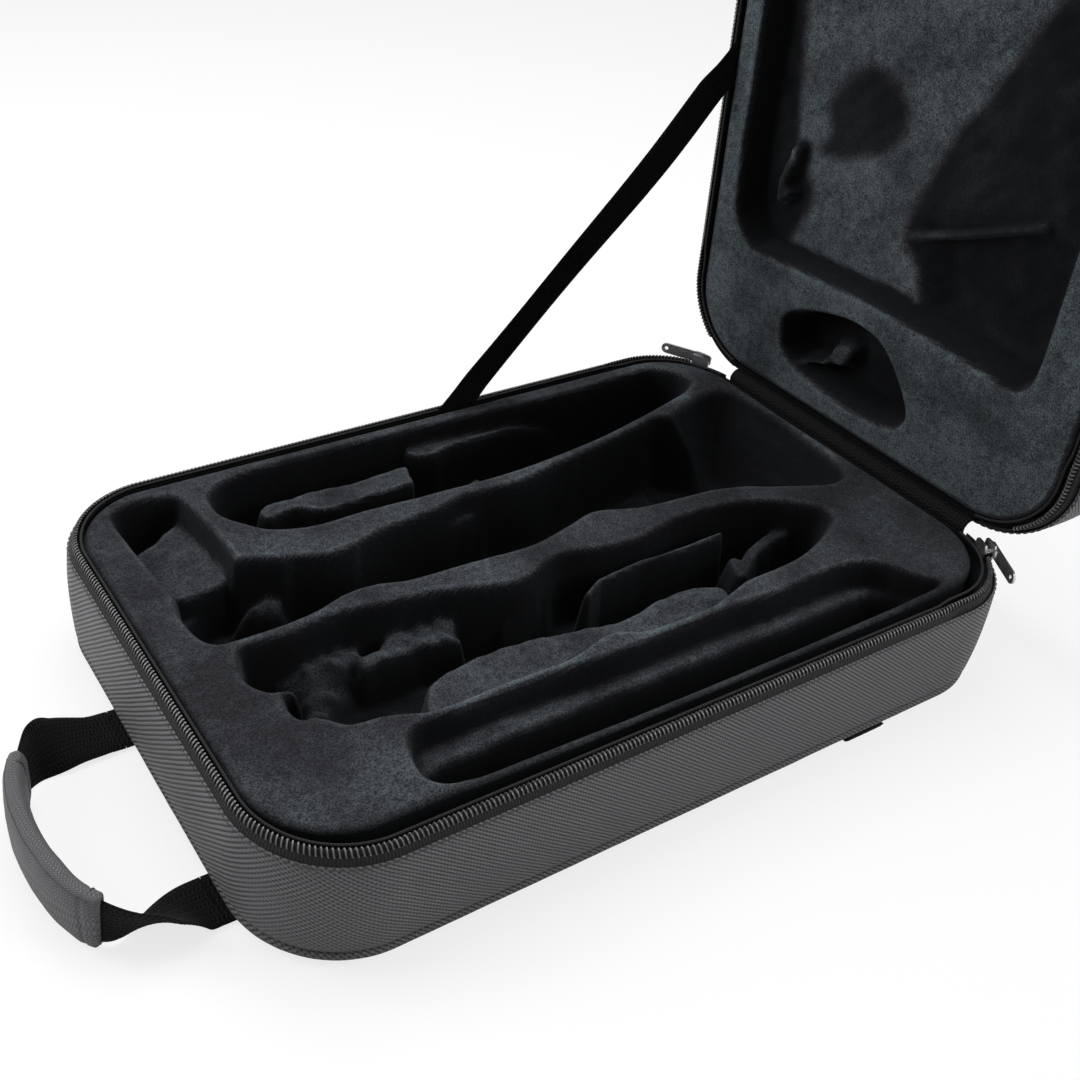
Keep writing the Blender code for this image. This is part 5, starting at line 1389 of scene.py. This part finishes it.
class CASE_OT_panels(bpy.types.Operator):
    """Build the nylon panels of the underside and the lid's top"""

    bl_idname = "case.panels"
    bl_label = "Outer panels"

    def execute(self, context):
        sizes = context.scene.case_shell
        rim = Rim(sizes)
        length, half_width = sizes.rim_length / 2 - PANEL_INSET, sizes.rim_width / 2 - PANEL_INSET
        rows = liner_rows(length, half_width, sizes.corner_radius - PANEL_INSET, 0.004)
        y = rows[1][:, None] * np.linspace(-1.0, 1.0, 61)
        x = np.broadcast_to(rows[0][:, None], y.shape)
        for (half, full), name in zip(half_depths(sizes), ("bottom", "top")):
            depth = np.full(y.shape, full)
            if half == "lid":
                dome = (1 - (x / length) ** 2) * (1 - (y / half_width) ** 2)
                where = np.stack([x, y, depth], axis=-1)
                depth = depth + sizes.crown * np.sqrt(np.clip(dome, 0.0, 1.0))
                depth += PANEL_RIPPLE * ripple(where, PANEL_WAVE, 21) * dome
            rings = [(out, full - back, full) for out, back in PANEL_EDGE]
            shape = slab(partial(rim.place, half), rows, y, depth, rings,
                         (0.0, full - PANEL_THICKNESS))
            piece = make_piece(f"{half}_nylon_{name}", shape, "nylon", half,
                               (f"{half}_{name}_cover",))
        return {"FINISHED"}


class CASE_OT_piping(bpy.types.Operator):
    """Build the piping sewn round the underside and the lid's top"""

    bl_idname = "case.piping"
    bl_label = "Piping"

    def execute(self, context):
        sizes = context.scene.case_shell
        rim = Rim(sizes)
        along = rim.stations(PIPING_STEP)
        turn = np.linspace(0.0, TAU, 15)[:, None]
        radius = sizes.piping_radius
        out, down = radius * np.cos(turn[:-1]), radius * np.sin(turn[:-1])
        seat = sizes.wall_standoff - radius
        for half, full in half_depths(sizes):
            middle = full - sizes.piping_depth
            where = rim.run(half, along[:-1], seat + out, middle + down)
            pinch = 1.0 + 0.03 * ripple(where, 0.012, 31) + 0.04 * ripple(where, 0.045, 32)
            pinch *= 0.98
            points = rim.run(half, along[:-1], seat + pinch * out, middle + pinch * down)
            shape = grid(points, along, turn * radius, wrap_rows=True)
            make_piece(half + "_bound_piping", shape, "nylon", half, (half + "_piping",))
        return {"FINISHED"}


class CASE_OT_zip(bpy.types.Operator):
    """Build the zip's tape and coil on both halves"""

    bl_idname = "case.zip"
    bl_label = "Zip"

    def execute(self, context):
        sizes, zipper = context.scene.case_shell, context.scene.case_zip
        rim = Rim(sizes)
        for half in HALVES:
            self.tape(rim, zipper, half)
            self.coil(rim, zipper, half)
        return {"FINISHED"}

    def guided(self, zipper, rim, along):
        """Share of the slim section: one where a slider runs, easing to zero past its travel."""
        reach = rim.corner_start + rim.radius * zipper.slider_end
        return 1 - ramp(np.minimum(along, rim.length - along), reach, reach + zipper.slider_ease)

    def tape(self, rim, zipper, half):
        """A thin band from the wall's seam up behind the coil, the coil's core and a cord."""
        start = rim.corner_start + rim.radius * zipper.tape_start
        along = rim.stations(TAPE_STEP, start)
        thick = zipper.tape_thickness / 2
        slim = self.guided(zipper, rim, along)[:, None, None]
        line = TAPE_LINE + (TAPE_LINE_SLIM - TAPE_LINE) * slim
        normal = TAPE_NORMAL + (TAPE_NORMAL_SLIM - TAPE_NORMAL) * slim
        profile = np.concatenate([line + normal * thick, (line - normal * thick)[:, ::-1]], axis=1)
        along = along[:, None]
        points = rim.run(half, along, profile[..., 0], profile[..., 1])
        walked = np.append(distances(profile[0]), distances(profile[0])[-1] + 0.001)
        band = grid(points, along, walked[None])
        turn = np.linspace(0.0, TAU, 9)[None]
        radius = zipper.cord_radius
        seat = -zipper.cord_inset - zipper.cord_retreat * slim[..., 0]
        cord = rim.run(half, along, seat + radius * np.cos(turn[:, :-1]),
                       zipper.cord_depth + radius * np.sin(turn[:, :-1]))
        edge = grid(cord, along, turn * radius)
        start = rim.corner_start + rim.radius * zipper.coil_start
        spots = rim.stations(CORE_STEP, start)[:, None]
        standoff, deep = self.section(zipper, rim, spots, turn[:, :-1], 0.8, 0.35)
        core = grid(rim.run(half, spots, standoff, deep), spots, turn * radius)
        make_piece(half + "_woven_tape", [band, edge, core], "tape", half, (half + "_zip_tape",))

    def section(self, zipper, rim, along, phase, wide=1.0, thick=1.0):
        """Standoff and depth round the coil's flat section, at shares of its width and thickness.

        The section leans outwards, and stands upright and narrower where a slider runs.
        """
        slim = self.guided(zipper, rim, along)
        slant = zipper.coil_slant * (1 - slim)
        lean, stand = np.sin(slant), np.cos(slant)
        loss = (zipper.coil_half_width - zipper.slim_half_width) * slim
        across = wide * (zipper.coil_half_width - loss) * np.sin(phase)
        through = thick * zipper.coil_half_height * np.cos(phase)
        centre = zipper.coil_standoff * (1 - slim)
        deep = zipper.coil_depth + (zipper.slim_depth - zipper.coil_depth) * slim
        return centre + lean * across + stand * through, deep + stand * across - lean * through

    def coil(self, rim, zipper, half):
        """A helix beside the zip line, flattened in section."""
        start = rim.corner_start + rim.radius * zipper.coil_start
        turns = round((rim.length - 2 * start) / zipper.pitch)
        phase = np.linspace(0.0, turns * TAU, turns * 8 + 1)
        along = np.linspace(start, rim.length - start, len(phase))
        centres = rim.run(half, along, *self.section(zipper, rim, along, phase))
        core = rim.run(half, along, *self.section(zipper, rim, along, phase, 0.0, 0.0))
        tangent = unit(np.gradient(centres, axis=0))
        outward = centres - core
        outward -= tangent * np.einsum("ij,ij->i", outward, tangent)[:, None]
        outward = unit(outward)
        side = np.cross(tangent, outward)
        angle = np.arange(4) * TAU / 4 + TAU / 8
        ring = zipper.wire_radius * np.ones((len(phase), 1))
        wire = carried(centres, outward, side, ring * np.cos(angle), ring * np.sin(angle))
        shape = grid(wire, np.arange(5)[None] * zipper.wire_radius, along[:, None])
        make_piece(half + "_coil_teeth", shape, "coil", half, (half + "_zip_coil",), sharp=50.0)


class CASE_OT_hinge(bpy.types.Operator):
    """Build the fabric hinge as one folded strip"""

    bl_idname = "case.hinge"
    bl_label = "Fabric hinge"

    def execute(self, context):
        rim = Rim(context.scene.case_shell)
        x, depth = HINGE_LINE.T
        low, high = rim.place("base", x, 0.0, depth), rim.place("lid", x[::-1], 0.0, depth[::-1])
        bend = (low[-1] + high[0]) / 2 + (-HINGE_BEND, 0.0, HINGE_BEND)
        chain = np.concatenate([low, bend[None], high])
        path = hermite(chain, np.gradient(chain, axis=0), np.linspace(0.0, len(chain) - 1, 49))
        across = np.array([0.0, 1.0, 0.0])
        normal = np.cross(unit(np.gradient(path, axis=0)), across)
        y = np.linspace(-HINGE_HALF_SPAN, HINGE_HALF_SPAN, 111)
        outer, inner = ((path + normal * offset)[:, None] + across * y[None, :, None]
                        for offset in (HINGE_HALF_THICKNESS, -HINGE_HALF_THICKNESS))
        wave = HINGE_WAVE * ripple(outer, 0.030, 41)[..., None] * normal[:, None]
        loop = np.concatenate([outer + wave, (inner + wave)[:, ::-1]], axis=1)
        cloth = np.concatenate([y, y[::-1], y[:1]])
        piece = make_piece("hinge_strip", grid(loop, cloth[None], distances(path)[:, None]),
                           "webbing", None, ("base_hinge_strip", "lid_hinge_strip"))
        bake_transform(piece)
        return {"FINISHED"}


def ribbed_band(path, across, normal, width, thickness, pitch, height):
    """Webbing: a flat section with rounded edges carried along a path.

    Its thickness swells with the cosine of the distance walked, shifted in a chevron by the place
    across. across and normal are one direction, or one for each point of the path.
    """
    walked = distances(path)
    spots = np.linspace(-1.0, 1.0, 13)
    edge = np.sqrt(np.clip(1 - np.abs(spots) ** EDGE_POWER, 0.0, 1.0)) * 0.5
    wide = spots * width / 2
    chevron = np.abs(np.mod(wide / CHEVRON, 1.0) - 0.5) * 2 * pitch * CHEVRON_SHARE
    swell = height * np.cos(TAU * (walked[:, None] + chevron[None]) / pitch)
    face = edge * thickness + swell * (edge > 0.2)
    wide = np.broadcast_to(wide, face.shape)
    widths = np.concatenate([wide, wide[:, -2:0:-1]], axis=1)
    heights = np.concatenate([face, -face[:, -2:0:-1]], axis=1)
    across, normal = (np.broadcast_to(way, path.shape) for way in (across, normal))
    points = carried(path, across, normal, widths, heights)
    u = np.concatenate([widths[0], widths[0, :1]])
    return grid(points, u[None], walked[:, None])


class CASE_OT_stay(bpy.types.Operator):
    """Build the webbing stay that holds the lid open, and its sewn ends"""

    bl_idname = "case.stay"
    bl_label = "Lid stay"

    def execute(self, context):
        sizes, webbing = context.scene.case_shell, context.scene.case_webbing
        rim = Rim(sizes)
        y = sizes.rim_width / 2 - webbing.stay_inset
        start = rim.place("base", rim.fold_x - webbing.stay_reach, y, 0.0)
        end = rim.place("lid", rim.fold_x - webbing.stay_reach, y, 0.0)
        length = np.linalg.norm(end - start)
        way = (end - start) / length
        side = np.array([0.0, 1.0, 0.0])
        up = np.cross(side, way)
        t = np.arange(-webbing.stay_tail, length + webbing.stay_tail, STAY_STEP)
        free = ramp(t, 0.0, STAY_EASE) * ramp(length - t, 0.0, STAY_EASE)
        sway, bow, twist = (
            height * np.sin(t / length * math.pi * waves + shift) * free
            for (height, waves), shift in ((STAY_SWAY, 0.6), (STAY_BOW, 0.0), (STAY_TWIST, 0.0)))
        path = start + np.outer(t, way) + np.outer(sway, side) + np.outer(bow, up)
        across = np.outer(np.cos(twist), up) + np.outer(np.sin(twist), side)
        pitch, height = webbing.rib_pitch * STAY_RIBS, webbing.rib_height * STAY_RIBS
        band = ribbed_band(path, across, np.cross(way, across), webbing.stay_width,
                           webbing.stay_thickness, pitch, height)
        piece = make_piece("lid_stay", band, "webbing", None, ("stay_strap",))
        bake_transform(piece)
        for half in HALVES:
            node = f"stay_strap_{half}_patch"
            low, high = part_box(node)
            centre = (np.array(low) + np.array(high)) / 2
            path = centre + np.outer(np.linspace(-0.5, 0.5, 34) * PATCH_LENGTH, way)
            patch = ribbed_band(path, up, np.cross(way, up), webbing.stay_width, PATCH_THICKNESS,
                                pitch, PATCH_RIB)
            make_piece(f"stay_patch_{half}", patch, "webbing", half, (node,))
        return {"FINISHED"}


def handle_path(webbing, places):
    """Centres, width directions and thickness directions along the handle, from its table."""
    rows = np.array(HANDLE_PATH)
    samples = hermite(rows, np.gradient(rows, axis=0), places * (len(rows) - 1))
    centres = np.column_stack([
        webbing.handle_x - samples[:, 0] * webbing.handle_reach,
        webbing.handle_y + samples[:, 1] * webbing.handle_span,
        webbing.handle_z + samples[:, 2] * webbing.handle_rise - webbing.thickness / 2])
    tangents = np.gradient(centres, axis=0)
    if places[0] == 0.0:
        tangents[0], tangents[-1] = (-1.0, 0.0, 0.0), (1.0, 0.0, 0.0)
    tangents = unit(tangents)
    level = unit(np.column_stack([tangents[:, 1], -tangents[:, 0], np.zeros(len(places))]))
    twist = np.clip(samples[:, 3], 0.0, 1.0)[:, None] * math.pi / 2
    up = np.cross(level, tangents)
    up *= np.sign(up[:, 2])[:, None]
    across = level * np.cos(twist) + up * np.sin(twist)
    return centres, across, np.cross(tangents, across)


class CASE_OT_handle(bpy.types.Operator):
    """Build the carry handle with its padded grip, its sewn tabs and the stub under the front"""

    bl_idname = "case.handle"
    bl_label = "Handle"

    def execute(self, context):
        webbing = context.scene.case_webbing
        centres, across, normals = handle_path(webbing, np.linspace(0.0, 1.0, 520))
        band = ribbed_band(centres, across, normals, webbing.width, webbing.thickness,
                           webbing.rib_pitch, webbing.rib_height)
        make_piece("handle_strap", band, "webbing", "handle", ("handle_webbing",))
        self.grip(webbing)
        x, y, z = np.eye(3)
        for name, node, way, side, start in (
                ("sewn_tab_back", "handle_tab_back", x, y, -0.5),
                ("sewn_tab_front", "handle_tab_front", x, y, -0.5),
                ("sewn_strap_stub", "bottom_strap_stub", y, x, webbing.stub_start)):
            low, high = (np.array(corner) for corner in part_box(node))
            long = np.dot(high - low, way)
            path = (low + high) / 2 + np.outer(np.linspace(start, 0.5, 26) * long, way)
            shape = ribbed_band(path, side, z, webbing.width, webbing.thickness * 0.94,
                                webbing.rib_pitch, webbing.rib_height * 0.5)
            make_piece(name, shape, "webbing", "base", (node,))
        return {"FINISHED"}

    def grip(self, webbing):
        """A padded sleeve: a squared oval section, fuller in the middle, hemmed at both ends."""
        places = np.linspace(*GRIP_RUN, 150)
        centres, across, normals = handle_path(webbing, places)
        angle = np.linspace(0.0, TAU, 49)
        wide, thick = (np.sign(part) * np.abs(part) ** (2 / GRIP_POWER)
                       for part in (np.cos(angle[None, :-1]), np.sin(angle[None, :-1])))
        share = np.linspace(-1.0, 1.0, len(places))[:, None]
        walked = distances(centres)
        from_end = np.minimum(walked, walked[-1] - walked)[:, None]
        fullness = 1.0 - 0.16 * share ** 4
        fullness -= 0.10 * np.exp(-((from_end - GRIP_HEM) / GRIP_HEM_WIDTH) ** 2)
        fullness -= 0.45 * ramp(from_end, GRIP_END, 0.0)
        even = np.ones_like(share)
        where = carried(centres, across, normals, wide * 0.012 * even, thick * 0.004 * even)
        crease = ripple(where, 0.016, 51) * 0.05 + ripple(where, 0.006, 52) * 0.02
        widths = (wide * webbing.grip_height / 2
                  * (1.0 + 0.15 * crease - 0.03 * ramp(from_end, 0.001, 0.0)))
        heights = thick * webbing.grip_thickness / 2 * (fullness + crease)
        points = carried(centres, across, normals, widths, heights)
        around = angle * 0.5 * (webbing.grip_height + webbing.grip_thickness) / 2
        piece = make_piece("padded_grip", grid(points, around[None], walked[:, None]), "sleeve",
                           "handle", ("handle_grip",))
        self.stitch(points, centres)

    def stitch(self, points, centres):
        """Stitches along one side of the grip and round half of each hem."""
        index, column = np.arange(8, len(points) - 8, 3), 4
        at = points[index, column]
        ways = points[index + 1, column] - at
        lifts = at - centres[index]
        ring = np.arange(26, 48, 2)
        for end in (10, len(points) - 11):
            at = np.concatenate([at, points[end, ring]])
            ways = np.concatenate([ways, points[end, ring + 1 - 48] - points[end, ring]])
            lifts = np.concatenate([lifts, points[end, ring] - centres[end]])
        make_piece("grip_stitches", stitches(at, ways, lifts, 0.0021, 0.00028), "thread", "handle")


class CASE_OT_fittings(bpy.types.Operator):
    """Give the zip's sliders, their pulls and the stiffening boards their finishes"""

    bl_idname = "case.fittings"
    bl_label = "Sliders and boards"

    def execute(self, context):
        metal = ("zip_slider_front", "zip_pull_front", "zip_slider_back", "zip_pull_back")
        boards = ("base_bottom_board", "lid_top_board")
        for names, key in ((metal, "metal"), (boards, "board")):
            for name in names:
                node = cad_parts[name]
                if not node.material_slots:
                    raise RuntimeError(f"{name} has no material slot")
                for own in node.material_slots:
                    own.material = finish_of(key)
        return {"FINISHED"}


def stage_finish(look):
    """Pale floor that keeps its shadow and shows the camera a share of plain white."""
    finish = Finish("pale_floor")
    finish.done((*look.floor, 1.0), 0.8, Specular_IOR_Level=0.1)
    ray = finish.add("ShaderNodeLightPath")
    glow = finish.add("ShaderNodeEmission", {"Strength": 1.0})
    seen = finish.times(ray.outputs["Is Camera Ray"], look.floor_glow)
    both = finish.add("ShaderNodeMixShader", {0: seen, 1: finish.shader.outputs[0],
                                              2: glow.outputs[0]})
    finish.put(finish.tree.nodes["Material Output"].inputs["Surface"], both.outputs[0])
    return finish.material


def room_light(look):
    """World: a plain pale room for the light, and plain white where the camera sees it, also in
    mirrors and through glass."""
    world = bpy.data.worlds.new("pale_room")
    bpy.context.scene.world = world
    world.use_nodes = True
    tree = world.node_tree
    back = tree.nodes["Background"]
    ray = tree.nodes.new("ShaderNodeLightPath")
    seen = ray.outputs["Is Camera Ray"]
    for kind in ("Is Glossy Ray", "Is Transmission Ray"):
        either = tree.nodes.new("ShaderNodeMath")
        either.operation = "MAXIMUM"
        tree.links.new(seen, either.inputs[0])
        tree.links.new(ray.outputs[kind], either.inputs[1])
        seen = either.outputs[0]
    level = tree.nodes.new("ShaderNodeMapRange")
    level.inputs["To Min"].default_value = look.world_light
    level.inputs["To Max"].default_value = 1.0
    tree.links.new(seen, level.inputs["Value"])
    back.inputs["Color"].default_value = (1.0, 1.0, 1.0, 1.0)
    tree.links.new(level.outputs["Result"], back.inputs["Strength"])


class CASE_OT_stage(bpy.types.Operator):
    """Build the floor, the light and the camera"""

    bl_idname = "case.stage"
    bl_label = "Floor, light and camera"

    def execute(self, context):
        scene = context.scene
        look = scene.case_stage
        room_light(look)
        mesh = bpy.data.meshes.new("floor")
        corners = [(x * FLOOR_REACH, y * FLOOR_REACH, FLOOR_LEVEL)
                   for x, y in ((-1, -1), (1, -1), (1, 1), (-1, 1))]
        mesh.from_pydata(corners, [], [(0, 1, 2, 3)])
        mesh.materials.append(stage_finish(look))
        self.add("floor", mesh)
        for name, place, size, share in LIGHTS:
            light = bpy.data.lights.new(name, "AREA")
            light.shape, light.size, light.energy = "SQUARE", size, look.key_power * share
            lamp = self.add(name, light)
            lamp.location = place
            x, y, z = np.array(LIGHT_AIM) - np.array(place)
            lamp.rotation_euler = (math.atan2(math.hypot(x, y), -z), 0.0, math.atan2(-x, y))
        lens = bpy.data.cameras.new("photo_camera")
        lens.sensor_width, lens.lens = SENSOR, FOCAL_PIXELS / PHOTO_PIXELS * SENSOR
        lens.shift_x, lens.shift_y = CAMERA_SHIFT
        lens.clip_start, lens.clip_end = 0.01, 20.0
        camera = self.add("photo_camera", lens)
        camera.location, camera.rotation_euler = CAMERA_PLACE, CAMERA_TURN
        scene.camera = camera
        scene.view_settings.view_transform = "Standard"
        return {"FINISHED"}

    def add(self, name, data):
        """An object in the scene."""
        item = bpy.data.objects.new(name, data)
        bpy.context.scene.collection.objects.link(item)
        return item


OPERATORS = (
    CASE_OT_stage, CASE_OT_liners, CASE_OT_walls, CASE_OT_linings, CASE_OT_panels, CASE_OT_piping,
    CASE_OT_zip, CASE_OT_hinge, CASE_OT_stay, CASE_OT_handle, CASE_OT_fittings,
)
GROUPS = (
    ("case_shell", CaseShellSizes), ("case_plush", CasePlushSizes), ("case_zip", CaseZipSizes),
    ("case_webbing", CaseWebbingSizes), ("case_colours", CaseColours),
    ("case_stage", CaseStageLook),
)


class CASE_PT_panel(bpy.types.Panel):
    """Sizes, colours and build steps of the case"""

    bl_label = "Soft Zip Case"
    bl_idname = "CASE_PT_panel"
    bl_space_type = "VIEW_3D"
    bl_region_type = "UI"
    bl_category = "Case"

    def draw(self, context):
        for operator in OPERATORS:
            self.layout.operator(operator.bl_idname, text=operator.bl_label)
        for key, group in GROUPS:
            box = self.layout.box()
            for name in group.__annotations__:
                box.prop(getattr(context.scene, key), name)


def register():
    """Register the groups, the operators and the panel."""
    for key, group in GROUPS:
        bpy.utils.register_class(group)
        setattr(bpy.types.Scene, key, bpy.props.PointerProperty(type=group))
    for item in (*OPERATORS, CASE_PT_panel):
        bpy.utils.register_class(item)


def unregister():
    """Take back what register did, in reverse."""
    for item in reversed((*OPERATORS, CASE_PT_panel)):
        bpy.utils.unregister_class(item)
    for key, group in reversed(GROUPS):
        delattr(bpy.types.Scene, key)
        bpy.utils.unregister_class(group)


def main():
    """Register the classes, then build every piece."""
    register()
    for operator in OPERATORS:
        group, name = operator.bl_idname.split(".")
        getattr(getattr(bpy.ops, group), name)()


if __name__ == "__main__":
    main()
